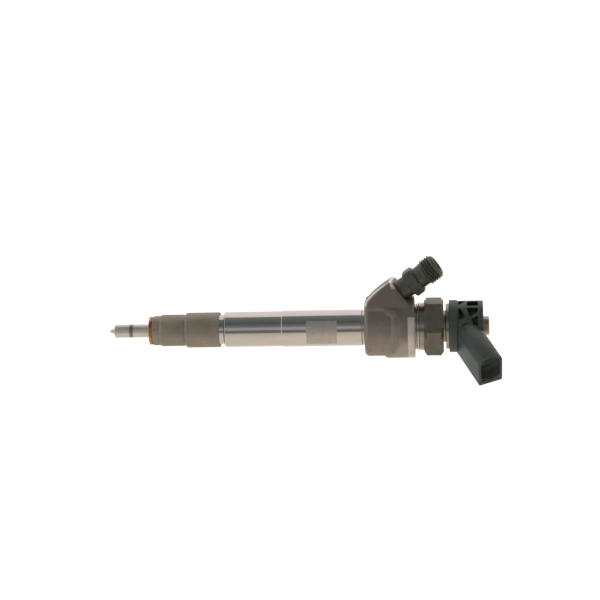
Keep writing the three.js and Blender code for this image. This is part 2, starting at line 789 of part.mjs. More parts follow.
add('solenoid_spring', spring(1.65, 0.3, boltHeadTop, coreTop - solenoid.shimThickness, 7), SPRING_STEEL);
add('solenoid_spring_shim', rod(solenoid.coreBoreR - STATIC_GAP, coreTop - solenoid.shimThickness, coreTop,
  FACETS_FINE), STEEL_HARD);

// The magnet's steel cover: a flange on the core and a neck that carries the connector cap.
const flangeGroove = { low: coreTop + 1.0, high: coreTop + 2.8, depth: 1.4 };
const neckGroove = { low: capStart + 1.2, high: capStart + 2.6, depth: 0.9 };
add('magnet_housing', turned([
  [housing.returnBoreR, coreTop],
  [coreR, coreTop],
  [coreR, flangeGroove.low],
  [coreR - flangeGroove.depth, flangeGroove.low],
  [coreR - flangeGroove.depth, flangeGroove.high],
  [coreR, flangeGroove.high],
  [coreR, housingFlangeTop],
  [neckR, housingFlangeTop],
  [neckR, neckGroove.low],
  [neckR - neckGroove.depth, neckGroove.low],
  [neckR - neckGroove.depth, neckGroove.high],
  [neckR, neckGroove.high],
  [neckR, neckTop],
  [housing.returnRoomR, neckTop],
  [housing.returnRoomR, returnRoomStart],
  [housing.returnBoreR, returnRoomStart],
], FACETS_SMALL), STEEL_BROWN);

const flangeRingR = (flangeGroove.high - flangeGroove.low) / 2 - STATIC_GAP * 2;
add('solenoid_oring', oRing(coreR - flangeGroove.depth + flangeRingR + STATIC_GAP / 2, flangeRingR,
  (flangeGroove.low + flangeGroove.high) / 2, FACETS_SMALL), RUBBER);
const neckRingR = (neckGroove.high - neckGroove.low) / 2 - STATIC_GAP * 2;
add('cap_oring', oRing(neckR - neckGroove.depth + neckRingR + STATIC_GAP / 2, neckRingR,
  (neckGroove.low + neckGroove.high) / 2, FACETS_SMALL), RUBBER);

// The hexagonal union nut that clamps the magnet into the head.
const unionBore = turned([
  [0, unionStart - 1],
  [collarR + STATIC_GAP, unionStart - 1],
  [collarR + STATIC_GAP, housingFlangeTop],
  [neckR + STATIC_GAP * 2, housingFlangeTop],
  [neckR + STATIC_GAP * 2, unionTop + 1],
  [0, unionTop + 1],
], FACETS_LARGE);
add('solenoid_nut', cut(
  hexagon(unionFlats, unionStart, unionTop, unionNut.azimuth, unionNut.edge), unionBore), STEEL_OLIVE);

add('sleeve_ring', ringPiece(neckR + STATIC_GAP, neckR + sleeve.width, sleeveStart, capStart,
  FACETS_LARGE), STEEL_BROWN);

// ---------------------------------------------------------------- connector cap

// The socket's section: flat on one side, straight flanks, and an arched side that faces -Y.
function socketSection(inset) {
  const w = socket.halfWidth - inset;
  const flatSide = socket.halfHeight - inset;
  const archStart = -socket.halfHeight + socket.archRise;
  const rise = socket.archRise - inset;
  const corner = inset > 0 ? socket.innerCorner : socket.corner;
  const shape = new THREE.Shape();
  shape.moveTo(w, archStart);
  shape.lineTo(w, flatSide - corner);
  shape.absarc(w - corner, flatSide - corner, corner, 0, Math.PI / 2, false);
  shape.lineTo(-w + corner, flatSide);
  shape.absarc(-w + corner, flatSide - corner, corner, Math.PI / 2, Math.PI, false);
  shape.lineTo(-w, archStart);
  shape.absellipse(0, archStart, w, rise, Math.PI, 2 * Math.PI, false, 0);
  return shape;
}

const socketBar = (inset, low, high) => new THREE.ExtrudeGeometry(socketSection(inset), {
  depth: high - low,
  bevelEnabled: false,
  curveSegments: 7,
}).translate(0, 0, low);

function bladeBar(gap, low, high, side) {
  return new THREE.BoxGeometry(blade.thickness + 2 * gap, blade.width + 2 * gap, high - low)
    .translate(0, side * blade.spacing / 2, (low + high) / 2);
}

const socketFloor = socket.mouth - socket.depth;
const bladeTop = socketFloor + blade.standOut;
const sides = [-1, 1];

const capShell = turned([
  [neckR + STATIC_GAP + 0.05, capStart],
  [capRingR - 0.3, capStart],
  [capRingR, capStart + 0.3],
  [capRingR, capRingTop],
  [capR, capRingTop],
  [capR, capTop],
  [stub.r + STATIC_GAP + 0.05, capTop],
  [stub.r + STATIC_GAP + 0.05, neckTop + 0.2],
  [neckR + STATIC_GAP + 0.05, neckTop + 0.2],
], FACETS_LARGE);

const socketTower = socketBar(0, socket.start, socket.mouth).applyMatrix4(socketGroup.matrixWorld);
const capRoom = rod(neckR + STATIC_GAP + 0.05, capStart - 1, neckTop + 0.2, FACETS_LARGE);
const stubRoom = rod(stub.r + STATIC_GAP + 0.05, neckTop, stubTop + 10, FACETS_LARGE);
const socketRoom = socketBar(socket.wall, socketFloor, socket.mouth + 2)
  .applyMatrix4(socketGroup.matrixWorld);
const bladeSlots = sides.map((side) => bladeBar(CUT_GAP, blade.start - CUT_GAP, socketFloor + 1, side)
  .applyMatrix4(socketGroup.matrixWorld));

const webStart = capRingTop + cap.ringGap;
const webHeight = capTop - cap.endWall - webStart;
const pockets = WEB_UNITS.flatMap((unit) => POCKETS.slice(0, unit.pockets).map((corners) => pocketTool(
  corners.map(([angle, share]) => [
    firstWebAzimuth - unit.offset - unit.direction * angle,
    webStart + share * webHeight,
  ]),
  capR - cap.pocketDepth,
  capRingR + 1,
)));

const capSolid = join(cut(capShell, ...pockets), socketTower);
add('connector_cap', cut(capSolid, capRoom, stubRoom, socketRoom, ...bladeSlots), PLASTIC);

sides.forEach((side, i) => {
  add(`contact_pin_${i + 1}`, bladeBar(0, blade.start, bladeTop, side), TINNED, socketGroup);
});

// ---------------------------------------------------------------- fuel return

const returnGroove = { low: returnRoomStart + 2.2, high: returnRoomStart + 3.6, depth: 0.7 };
add('return_stub', turned([
  [stub.boreR, returnRoomStart],
  [stub.rootR, returnRoomStart],
  [stub.rootR, returnGroove.low],
  [stub.rootR - returnGroove.depth, returnGroove.low],
  [stub.rootR - returnGroove.depth, returnGroove.high],
  [stub.rootR, returnGroove.high],
  [stub.rootR, neckTop],
  [stub.r, neckTop + 0.3],
  [stub.r, stubTop - stub.lip],
  [stub.r - stub.lip, stubTop],
  [stub.boreR + stub.lip, stubTop],
  [stub.boreR, stubTop - stub.lip],
], FACETS_SMALL), STEEL_BROWN);
const returnRingR = (returnGroove.high - returnGroove.low) / 2 - STATIC_GAP * 2;
add('return_oring', oRing(stub.rootR - returnGroove.depth + returnRingR + STATIC_GAP / 2, returnRingR,
  (returnGroove.low + returnGroove.high) / 2, FACETS_SMALL), RUBBER);

export default injector;
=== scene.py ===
"""A solenoid diesel injector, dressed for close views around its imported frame."""
import json
import math

import bmesh
import bpy
from mathutils import Matrix, Vector


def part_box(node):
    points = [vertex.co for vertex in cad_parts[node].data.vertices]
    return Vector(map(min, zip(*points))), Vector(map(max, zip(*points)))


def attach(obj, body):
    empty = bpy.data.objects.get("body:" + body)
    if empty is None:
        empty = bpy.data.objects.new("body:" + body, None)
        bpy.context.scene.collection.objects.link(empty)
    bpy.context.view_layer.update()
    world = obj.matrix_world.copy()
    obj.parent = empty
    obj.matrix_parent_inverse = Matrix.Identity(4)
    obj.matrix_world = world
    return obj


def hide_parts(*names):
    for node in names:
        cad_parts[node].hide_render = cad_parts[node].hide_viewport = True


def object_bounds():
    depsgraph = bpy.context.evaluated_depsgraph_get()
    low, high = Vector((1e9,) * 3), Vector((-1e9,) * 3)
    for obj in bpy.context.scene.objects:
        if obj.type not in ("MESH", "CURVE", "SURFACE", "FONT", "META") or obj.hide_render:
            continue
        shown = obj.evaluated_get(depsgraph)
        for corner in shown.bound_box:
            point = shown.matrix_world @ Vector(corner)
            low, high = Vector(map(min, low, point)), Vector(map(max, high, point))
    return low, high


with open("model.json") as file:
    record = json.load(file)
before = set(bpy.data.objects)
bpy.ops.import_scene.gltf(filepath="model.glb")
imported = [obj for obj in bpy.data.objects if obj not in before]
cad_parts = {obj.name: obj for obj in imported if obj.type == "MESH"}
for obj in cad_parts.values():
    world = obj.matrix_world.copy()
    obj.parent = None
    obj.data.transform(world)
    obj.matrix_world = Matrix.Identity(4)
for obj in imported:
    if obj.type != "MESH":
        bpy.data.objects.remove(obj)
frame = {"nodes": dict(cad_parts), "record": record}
cad_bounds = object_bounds()

# ------------------------------------------------------------------ sealing washer
# A soft copper washer, blanked and annealed, that the nozzle nut presses on its seat.
# Fine turning rings cross its faces, and the anneal has left it in lighter and darker patches.

MM = 0.001


def linear(hex_colour):
    """A linear colour from an sRGB hex value."""
    channels = [int(hex_colour[i:i + 2], 16) / 255 for i in (1, 3, 5)]
    return (*[c / 12.92 if c <= 0.04045 else ((c + 0.055) / 1.055) ** 2.4 for c in channels], 1)


def add_node(tree, kind, inputs=None, stops=(), **settings):
    """A shader node with its settings, its links and a ramp's (position, hex) stops.

    Each input is a value or another node's output.
    """
    made = tree.nodes.new(kind)
    for name, value in settings.items():
        setattr(made, name, value)
    for name, value in (inputs or {}).items():
        if isinstance(value, bpy.types.NodeSocket):
            tree.links.new(value, made.inputs[name])
        else:
            made.inputs[name].default_value = value
    if stops:
        elements = made.color_ramp.elements
        while len(elements) < len(stops):
            elements.new(0.5)
        for element, (position, colour) in zip(elements, stops):
            element.position = position
            element.color = linear(colour)
    return made


def new_material(name, **shader):
    """A material, its node tree and its principled shader with plain values set."""
    material = bpy.data.materials.new(name)
    material.use_nodes = True
    tree = material.node_tree
    surface = tree.nodes["Principled BSDF"]
    for socket, value in shader.items():
        surface.inputs[socket.replace("_", " ")].default_value = value
    return material, tree, surface


def patterned(tree, stretch_mm, detail=3.0, roughness=0.55):
    """Noise in object space whose grain measures stretch_mm along x, y and z."""
    place = add_node(tree, "ShaderNodeTexCoord")
    scaled = add_node(tree, "ShaderNodeMapping", {
        "Vector": place.outputs["Object"],
        "Scale": [1 / (size * MM) for size in stretch_mm],
    })
    noise = add_node(tree, "ShaderNodeTexNoise", {
        "Vector": scaled.outputs["Vector"], "Scale": 1.0, "Detail": detail, "Roughness": roughness,
    })
    return noise.outputs["Fac"]


def skinned(tree, surface, tint, stops, grain, roughness, depth_mm=0.0, strength=0.5):
    """The surface's colour from one pattern, and its roughness and relief from a finer one."""
    colour = add_node(tree, "ShaderNodeValToRGB", {"Fac": tint}, stops)
    tree.links.new(colour.outputs["Color"], surface.inputs["Base Color"])
    rough = add_node(tree, "ShaderNodeMapRange", {
        "Value": grain, "From Min": 0.3, "From Max": 0.7, "To Min": roughness[0], "To Max": roughness[1],
    })
    tree.links.new(rough.outputs["Result"], surface.inputs["Roughness"])
    if depth_mm:
        relief = add_node(tree, "ShaderNodeBump", {
            "Height": grain, "Distance": depth_mm * MM, "Strength": strength,
        })
        tree.links.new(relief.outputs["Normal"], surface.inputs["Normal"])


def turned_metal(name, dark, light, roughness, line_mm=0.25, depth_mm=0.004, patch_mm=3.0, metallic=1.0):
    """Metal with the rings that a lathe or a grinding wheel leaves round the injector's axis."""
    material, tree, surface = new_material(name, Metallic=metallic)
    rings = patterned(tree, (14, 14, line_mm), detail=4)
    stains = patterned(tree, (patch_mm, patch_mm, patch_mm * 1.6), detail=4)
    colour = add_node(tree, "ShaderNodeValToRGB", {"Fac": stains}, [(0.3, dark), (0.7, light)])
    tree.links.new(colour.outputs["Color"], surface.inputs["Base Color"])
    mixed = add_node(tree, "ShaderNodeMath", {0: rings, 1: stains}, operation="ADD")
    rough = add_node(tree, "ShaderNodeMapRange", {
        "Value": mixed.outputs[0], "From Min": 0.7, "From Max": 1.3,
        "To Min": roughness * 0.8, "To Max": roughness * 1.25,
    })
    tree.links.new(rough.outputs["Result"], surface.inputs["Roughness"])
    relief = add_node(tree, "ShaderNodeBump", {"Height": rings, "Distance": depth_mm * MM, "Strength": 0.5})
    tree.links.new(relief.outputs["Normal"], surface.inputs["Normal"])
    return material


def eased(profile, radius=0.12, ring=False, segments=3):
    """A (radius, height) profile in mm with its corners rounded; a third value sets a corner's own."""
    made = []
    for i, corner in enumerate(profile):
        here = Vector(corner[:2])
        if not ring and i in (0, len(profile) - 1):
            made.append(here)
            continue
        before = Vector(profile[i - 1][:2]) - here
        after = Vector(profile[(i + 1) % len(profile)][:2]) - here
        size = min(corner[2] if len(corner) > 2 else radius, before.length * 0.45, after.length * 0.45)
        start, end = here + before.normalized() * size, here + after.normalized() * size
        for k in range(segments + 1):
            t = k / segments
            made.append(start * (1 - t) ** 2 + here * 2 * t * (1 - t) + end * t ** 2)
    return made


def lathe(profile, steps=120, ring=False, sweep=360):
    """A bmesh turned about z from a profile in mm that ends on the axis, or from a closed ring."""
    bm = bmesh.new()
    points = [bm.verts.new((r * MM, 0, z * MM)) for r, z in profile]
    edges = [bm.edges.new(pair) for pair in zip(points, points[1:] + points[:1] if ring else points[1:])]
    bmesh.ops.spin(bm, geom=points + edges, cent=(0, 0, 0), axis=(0, 0, 1), angle=math.radians(sweep),
                   steps=steps, use_merge=sweep == 360)
    if sweep < 360:
        bmesh.ops.holes_fill(bm, edges=[e for e in bm.edges if e.is_boundary])
    bmesh.ops.remove_doubles(bm, verts=bm.verts, dist=1e-7)
    bmesh.ops.recalc_face_normals(bm, faces=bm.faces)
    return bm


def finished(bm, name, material, nodes=(), body="injector", sharp=28, place=None):
    """The bmesh as a piece that rides on its body and stands for its frame nodes."""
    if place is not None:
        bmesh.ops.transform(bm, matrix=place, verts=bm.verts)
    mesh = bpy.data.meshes.new(name)
    bm.to_mesh(mesh)
    bm.free()
    for one in material if isinstance(material, (list, tuple)) else [material]:
        mesh.materials.append(one)
    mesh.polygons.foreach_set("use_smooth", [True] * len(mesh.polygons))
    mesh.set_sharp_from_angle(angle=math.radians(sharp))
    piece = bpy.data.objects.new(name, mesh)
    bpy.context.scene.collection.objects.link(piece)
    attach(piece, body)
    if nodes:
        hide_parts(*nodes)
    return piece


def span(node_name):
    """A node's lowest height, highest height and greatest reach along x, in mm."""
    low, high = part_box(node_name)
    return low[2] / MM, high[2] / MM, high[0] / MM


copper = turned_metal("annealed_copper", "#A85F3F", "#E8A481", 0.3, line_mm=0.12, patch_mm=2.2)

washer_low, washer_top, washer_r = span("sealing_washer")
washer_bore_r = washer_r / 2
finished(lathe(eased([
    (washer_bore_r, washer_low),
    (washer_r, washer_low),
    (washer_r, washer_top),
    (washer_bore_r, washer_top),
], 0.3, ring=True), ring=True), "copper_washer", copper, ["sealing_washer"])

# ------------------------------------------------------------------ nozzle
# A hardened steel nozzle body: a slim ground shaft with a cone and a blunt spray tip, drilled with
# a ring of holes. A dark brown band round the bright shaft is painted shade for a shallow groove that is not
# modelled.

nozzle_tip, nozzle_top, collar_r = span("nozzle_body")
nut_low, nut_top, nut_r = span("nozzle_retaining_nut")
NOZZLE_SHAFT_R = 3.5
NOZZLE_BORE_R = 2.05
NUB_R = 1.2
NUB_HEIGHT = 1.7
NUT_FLOOR = 5.0
HOLE_HEIGHT, HOLE_BAND = 1.35, 0.6  # the holes lie in this band of the tip
HOLE_SPACING, HOLE_WIDTH = 45, 3.7  # degrees round the tip
HOLE_DEPTH = 0.25
cone_top = nozzle_tip + NUB_HEIGHT + 1.1
collar_start = nut_low + NUT_FLOOR

nozzle_steel = turned_metal("ground_nozzle_steel", "#D3CEC8", "#E6E2DC", 0.38, line_mm=0.15,
                            depth_mm=0.0015, patch_mm=6, metallic=0.8)
tree = nozzle_steel.node_tree
surface = tree.nodes["Principled BSDF"]
height = add_node(tree, "ShaderNodeSeparateXYZ", {
    "Vector": add_node(tree, "ShaderNodeTexCoord").outputs["Object"],
}).outputs["Z"]
# Painted shade: a dark brown band round the shaft, where a shallow groove would lie in shade.
GROOVE_SHADE_MIDDLE = -9.9 * MM
GROOVE_SHADE_HALF = 1.1 * MM
groove_shade = add_node(tree, "ShaderNodeMath", {
    0: add_node(tree, "ShaderNodeMath", {0: height, 1: GROOVE_SHADE_MIDDLE}, operation="SUBTRACT").outputs[0],
}, operation="ABSOLUTE").outputs[0]
groove_shade = add_node(tree, "ShaderNodeMapRange", {
    "Value": groove_shade, "From Min": GROOVE_SHADE_HALF * 0.6, "From Max": GROOVE_SHADE_HALF * 1.1, "To Min": 0.75, "To Max": 0.0,
}, interpolation_type="SMOOTHSTEP").outputs["Result"]
bright = surface.inputs["Base Color"].links[0].from_socket
shaded_groove = add_node(tree, "ShaderNodeMix", {0: groove_shade, 6: bright, 7: linear("#6A5138")}, data_type="RGBA")
tree.links.new(shaded_groove.outputs[2], surface.inputs["Base Color"])

bm = lathe(eased([
    (0, nozzle_tip),
    (NUB_R * 0.55, nozzle_tip, 0.4),
    (NUB_R, nozzle_tip + NUB_HEIGHT, 0.5),
    (NOZZLE_SHAFT_R, cone_top, 0.35),
    (NOZZLE_SHAFT_R, collar_start),
    (collar_r, collar_start),
    (collar_r, nozzle_top),
    (NOZZLE_BORE_R, nozzle_top),
    (NOZZLE_BORE_R, cone_top + 4),
    (0.5, cone_top + 0.6),
    (0, cone_top),
], 0.12, segments=6), steps=96)
holes = []
for face in bm.faces:
    centre = face.calc_center_median()
    outside = centre.xy.length > (NUB_R - 0.05) * MM
    in_band = abs(centre.z / MM - nozzle_tip - HOLE_HEIGHT) < HOLE_BAND
    turn = math.degrees(math.atan2(centre.y, centre.x))
    if outside and in_band and turn % HOLE_SPACING < HOLE_WIDTH:
        holes.append(face)
bmesh.ops.inset_individual(bm, faces=holes, thickness=0.01 * MM, depth=-HOLE_DEPTH * MM)
finished(bm, "nozzle", nozzle_steel, ["nozzle_body"])

# ------------------------------------------------------------------ nozzle retaining nut
# A turned steel sleeve nut that pulls the nozzle up to the body. The foot has six milled flats
# for the spanner, and the brown-grey skin is the tempering scale left on the turned metal.

NUT_LOWER_R = 8.45
NUT_FOOT_R = 7.95
NUT_FOOT_TOP = 5.9
NUT_STEP = 19.2
NUT_FLATS = 14.9
NUT_FLATS_AZIMUTH = 1.6
NUT_BORE_R = 7.25
NUT_THREAD_R = 8.1


def flattened(bm, across, azimuth, count, low, high):
    """Moves what stands beyond count flats between two heights in mm back onto those flats."""
    for i in range(count):
        angle = math.radians(azimuth + i * 360 / count)
        outward = Vector((math.cos(angle), math.sin(angle), 0))
        for v in bm.verts:
            beyond = v.co.dot(outward) - across / 2 * MM
            if beyond > 0 and low * MM - 1e-7 <= v.co.z <= high * MM + 1e-7:
                v.co -= outward * beyond
    return bm


nut_steel = turned_metal("tempered_nut_steel", "#8D8579", "#A2998C", 0.5, line_mm=0.3,
                         depth_mm=0.008, patch_mm=7, metallic=0.6)

bm = lathe(eased([
    (NOZZLE_SHAFT_R + 0.1, nut_low),
    (NUT_FOOT_R - 0.9, nut_low, 0.1),
    (NUT_FOOT_R, nut_low + 0.9, 0.15),
    (NUT_FOOT_R, NUT_FOOT_TOP, 0.02),
    (NUT_FOOT_R + 0.02, NUT_FOOT_TOP + 0.03, 0.01),
    (NUT_LOWER_R, NUT_FOOT_TOP + 1.0, 0.4),
    (NUT_LOWER_R, NUT_STEP - 0.5, 0.15),
    (NUT_LOWER_R - 0.22, NUT_STEP - 0.2, 0.12),
    (NUT_LOWER_R - 0.22, NUT_STEP + 0.15, 0.12),
    (nut_r, NUT_STEP + 1.1, 0.5),
    (nut_r, nut_top, 0.4),
    (NUT_THREAD_R, nut_top, 0.2),
    (NUT_THREAD_R, nozzle_top - 0.4),
    (NUT_BORE_R, nozzle_top - 0.4),
    (NUT_BORE_R, collar_start),
    (NOZZLE_SHAFT_R + 0.1, collar_start),
], 0.1, ring=True), steps=240, ring=True)
flattened(bm, NUT_FLATS, NUT_FLATS_AZIMUTH, 6, nut_low, NUT_FOOT_TOP)
finished(bm, "nozzle_nut", nut_steel, ["nozzle_retaining_nut"], sharp=22)

# ------------------------------------------------------------------ ground shaft
# The injector body's long shaft, centreless ground and polished after hardening. Above a relief
# groove it has two diameters that meet at a small chamfer, and a matt field where it is lasered.

body_low, body_top, body_r = span("injector_body")
NECK_R = 7.85
NECK_TOP = 40.4
SHAFT_LOWER_R = 9.375
SHAFT_STEP = 71.2
SHAFT_UPPER_R = 9.625
HEAD_START = 115.6
PISTON_BORE_R = 2.2
SPRING_ROOM_R = 3.75
SPRING_ROOM_TOP = 42.0
FIELD_LOW, FIELD_HIGH = 84.6, 100.8
FIELD_AZIMUTH, FIELD_HALF_ANGLE = -21.4, 42

shaft_steel = turned_metal("ground_shaft_steel", "#D6D2CE", "#E2DEDA", 0.09, line_mm=0.15,
                           depth_mm=0.0012, patch_mm=9)
field_steel = turned_metal("laser_matted_steel", "#B9B5AF", "#CBC6BF", 0.45, line_mm=0.2,
                           depth_mm=0.003, patch_mm=1.2, metallic=0.75)

bm = lathe(eased([
    (NUT_THREAD_R - 0.15, body_low),
    (NUT_THREAD_R - 0.15, nut_top - 0.2, 0.1),
    (NECK_R, nut_top + 0.1, 0.1),
    (NECK_R, NECK_TOP, 0.3),
    (SHAFT_LOWER_R - 0.7, NECK_TOP, 0.1),
    (SHAFT_LOWER_R, NECK_TOP + 0.7, 0.2),
    (SHAFT_LOWER_R, SHAFT_STEP, 0.1),
    (SHAFT_UPPER_R, SHAFT_STEP + 0.5, 0.05),
    (SHAFT_UPPER_R, FIELD_LOW, 0.01),
    (SHAFT_UPPER_R, FIELD_HIGH, 0.01),
    (SHAFT_UPPER_R, HEAD_START - 1.6, 0.1),
    (SHAFT_UPPER_R - 0.3, HEAD_START - 1.2, 0.1),
    (SHAFT_UPPER_R - 0.3, HEAD_START + 0.4),
    (PISTON_BORE_R, HEAD_START + 0.4),
    (PISTON_BORE_R, SPRING_ROOM_TOP),
    (SPRING_ROOM_R, SPRING_ROOM_TOP),
    (SPRING_ROOM_R, body_low),
], 0.05, ring=True), steps=180, ring=True)
for face in bm.faces:
    centre = face.calc_center_median()
    turn = (math.degrees(math.atan2(centre.y, centre.x)) - FIELD_AZIMUTH + 180) % 360 - 180
    in_field = FIELD_LOW < centre.z / MM < FIELD_HIGH and abs(turn) < FIELD_HALF_ANGLE
    if in_field and centre.xy.length > NECK_R * MM:
        face.material_index = 1
finished(bm, "ground_shaft", [shaft_steel, field_steel], ["injector_body"])

# ------------------------------------------------------------------ forged head
# The drop-forged end of the body, blasted to a satin grey. A boss for the fuel inlet grows out of
# the round head, its edges bright from trimming and from a painted highlight, and a slanted parting step
# crosses the head.

HEAD_R = 15.3
HEAD_UPPER_R = body_r - 0.06  # the remeshed skin keeps this much inside the frame
HEAD_TOP = 142.2
BOSS_AZIMUTH = -125
BOSS_HALF = 12.0
BOSS_REACH = 26.2
BOSS_INNER_REACH = 6.0
BOSS_BULGE = 1.0
BOSS_TRIM = 1.9
INLET_AZIMUTH = -116
INLET_TILT = 35.8
INLET_CROSSING = 107.7
BOSS_FACE = 33.8
INLET_ROOM_R, INLET_ROOM_START, INLET_ROOM_END = 6.05, 28.0, 45.0
PARTING = 130.0
PARTING_BEND = 66  # degrees from the boss at which the parting turns down towards its root
PARTING_SLANT = 0.32  # mm for each degree
PARTING_DROP = 4.6  # at the side opposite the boss
BEHIND_START, BEHIND_SPAN = 110, 60  # degrees from the boss over which the step drops and fades
PARTING_SHARE = 0.4  # of the step, in front; the rest rises gently after it
MAGNET_ROOM_R = 9.5
VALVE_ROOM_R = 6.6
MAGNET_ROOM_START = 131.0
VOXEL = 0.3

boss_turn = Matrix.Rotation(math.radians(BOSS_AZIMUTH), 4, "Z")
inlet_turn = Matrix.Rotation(math.radians(INLET_AZIMUTH), 4, "Z")
inlet_place = (Matrix.Translation((0, 0, INLET_CROSSING * MM)) @ inlet_turn
               @ Matrix.Rotation(math.radians(INLET_TILT), 4, "Y"))


def boss_face_height(reach):
    """Height of the boss's slanted face at a distance from the injector axis, in mm."""
    tilt = math.radians(INLET_TILT)
    return INLET_CROSSING + (BOSS_FACE - reach * math.sin(tilt)) / math.cos(tilt)


def from_modifiers(bm, *modifiers):
    """A bmesh after modifiers given as (type, settings)."""
    mesh = bpy.data.meshes.new("work")
    bm.to_mesh(mesh)
    bm.free()
    work = bpy.data.objects.new("work", mesh)
    bpy.context.scene.collection.objects.link(work)
    for kind, settings in modifiers:
        modifier = work.modifiers.new(kind, kind)
        for name, value in settings.items():
            setattr(modifier, name, value)
    shaped = bpy.data.meshes.new_from_object(work.evaluated_get(bpy.context.evaluated_depsgraph_get()))
    result = bmesh.new()
    result.from_mesh(shaped)
    bpy.data.objects.remove(work)
    bpy.data.meshes.remove(mesh)
    bpy.data.meshes.remove(shaped)
    return result


def added(bm, other):
    """Both bmeshes in the first one."""
    mesh = bpy.data.meshes.new("work")
    other.to_mesh(mesh)
    other.free()
    bm.from_mesh(mesh)
    bpy.data.meshes.remove(mesh)
    return bm


def without(bm, tool):
    """The bmesh cut by the tool."""
    mesh = bpy.data.meshes.new("tool")
    tool.to_mesh(mesh)
    tool.free()
    cutter = bpy.data.objects.new("tool", mesh)
    bpy.context.scene.collection.objects.link(cutter)
    result = from_modifiers(bm, ("BOOLEAN", {"operation": "DIFFERENCE", "object": cutter, "solver": "EXACT"}))
    bpy.data.objects.remove(cutter)
    bpy.data.meshes.remove(mesh)
    return result


def smooth(value):
    """A smooth step of a value between 0 and 1."""
    value = min(max(value, 0), 1)
    return value * value * (3 - 2 * value)


foot = Vector((HEAD_R - 1.4, HEAD_START))
apex = Vector((BOSS_REACH, boss_face_height(BOSS_REACH)))
crown = Vector((apex.y - foot.y, foot.x - apex.x)).normalized() * BOSS_BULGE * 2
control = foot.lerp(apex, 0.45) + crown
back = [foot * (1 - t) ** 2 + control * 2 * t * (1 - t) + apex * t ** 2 for t in [k / 12 for k in range(13)]]
boss_top = HEAD_TOP - 1.4
outline = [Vector((BOSS_INNER_REACH, HEAD_START))] + back + [
    Vector((BOSS_REACH, boss_top)),
    Vector((BOSS_INNER_REACH, boss_top)),
]
bm = bmesh.new()
points = [bm.verts.new((p.x * MM, -BOSS_HALF * MM, p.y * MM)) for p in outline]
face = bm.faces.new(points)
grown = bmesh.ops.extrude_face_region(bm, geom=[face])
bmesh.ops.translate(bm, vec=(0, BOSS_HALF * 2 * MM, 0),
                    verts=[g for g in grown["geom"] if isinstance(g, bmesh.types.BMVert)])
bmesh.ops.transform(bm, matrix=boss_turn, verts=bm.verts)
inlet_axis = inlet_place.to_3x3() @ Vector((0, 0, 1))
bmesh.ops.bisect_plane(bm, geom=bm.verts[:] + bm.edges[:] + bm.faces[:], dist=1e-7,
                       plane_co=inlet_place @ Vector((0, 0, BOSS_FACE * MM)), plane_no=inlet_axis,
                       clear_outer=True)
bmesh.ops.holes_fill(bm, edges=[e for e in bm.edges if e.is_boundary])
bmesh.ops.recalc_face_normals(bm, faces=bm.faces)
corners = [e for e in bm.edges if e.is_manifold and e.calc_face_angle() > math.radians(35)
           and max(v.co.xy.length for v in e.verts) > HEAD_R * MM]
bmesh.ops.bevel(bm, geom=corners, offset=BOSS_TRIM * MM, segments=2, profile=0.5, affect="EDGES", material=-1)
bm = added(bm, lathe(eased([
    (0, HEAD_START),
    (HEAD_R - 1.3, HEAD_START, 0.5),
    (HEAD_R, HEAD_START + 1.6, 1.2),
    (HEAD_R, HEAD_TOP - 0.5, 0.3),
    (HEAD_R - 0.5, HEAD_TOP, 0.3),
    (0, HEAD_TOP),
]), steps=120))
bm = from_modifiers(bm, ("REMESH", {"mode": "VOXEL", "voxel_size": VOXEL * MM}))
across = boss_turn.to_3x3() @ Vector((0, 1, 0))
outwards = boss_turn.to_3x3() @ Vector((1, 0, 0))
for v in bm.verts:
    for way, limit in ((outwards, BOSS_REACH), (across, BOSS_HALF), (-across, BOSS_HALF)):
        if v.co.dot(outwards) > 0 and v.co.xy.length > HEAD_R * MM:
            v.co -= way * max(v.co.dot(way) - limit * MM, 0)
bmesh.ops.smooth_vert(bm, verts=bm.verts, factor=0.5, use_axis_x=True, use_axis_y=True, use_axis_z=True)
for v in bm.verts:
    turn = abs((math.degrees(math.atan2(v.co.y, v.co.x)) - BOSS_AZIMUTH + 180) % 360 - 180)
    radius = v.co.xy.length / MM
    behind = smooth((turn - BEHIND_START) / BEHIND_SPAN)
    past = v.co.z / MM - PARTING + PARTING_SLANT * max(PARTING_BEND - turn, 0) + PARTING_DROP * behind
    sharp_rise = PARTING_SHARE + (1 - PARTING_SHARE) * behind
    rise = sharp_rise * smooth(past / (1.2 + 1.2 * behind)) + (1 - sharp_rise) * smooth(past / 6)
    outer = smooth((radius - HEAD_R + 1) / 0.5) * smooth((HEAD_R + 0.9 - radius) / 0.7)
    v.co.xy *= 1 + (HEAD_UPPER_R - HEAD_R) * outer * rise / max(radius, 1)
for _ in range(3):
    bmesh.ops.smooth_vert(bm, verts=bm.verts, factor=0.5, use_axis_x=True, use_axis_y=True, use_axis_z=True)
root = [v for v in bm.verts if abs(abs(v.co.dot(across)) - BOSS_HALF * MM) < 1.6 * MM
        and HEAD_R - 1.5 < v.co.xy.length / MM < HEAD_R + 2.2 and v.co.dot(outwards) > 0]
for _ in range(14):
    bmesh.ops.smooth_vert(bm, verts=root, factor=0.5, use_axis_x=True, use_axis_y=True, use_axis_z=True)
room = lathe([
    (0, HEAD_START - 1),
    (SHAFT_UPPER_R - 0.2, HEAD_START - 1),
    (SHAFT_UPPER_R - 0.2, HEAD_START + 0.5),
    (VALVE_ROOM_R, HEAD_START + 0.6),
    (VALVE_ROOM_R, MAGNET_ROOM_START),
    (MAGNET_ROOM_R, MAGNET_ROOM_START),
    (MAGNET_ROOM_R, HEAD_TOP + 1),
    (0, HEAD_TOP + 1),
], steps=72)
inlet_room = lathe([
    (0, INLET_ROOM_START),
    (INLET_ROOM_R, INLET_ROOM_START),
    (INLET_ROOM_R, INLET_ROOM_END),
    (0, INLET_ROOM_END),
], steps=48)
bmesh.ops.transform(inlet_room, matrix=inlet_place, verts=inlet_room.verts)
bm = without(without(bm, room), inlet_room)

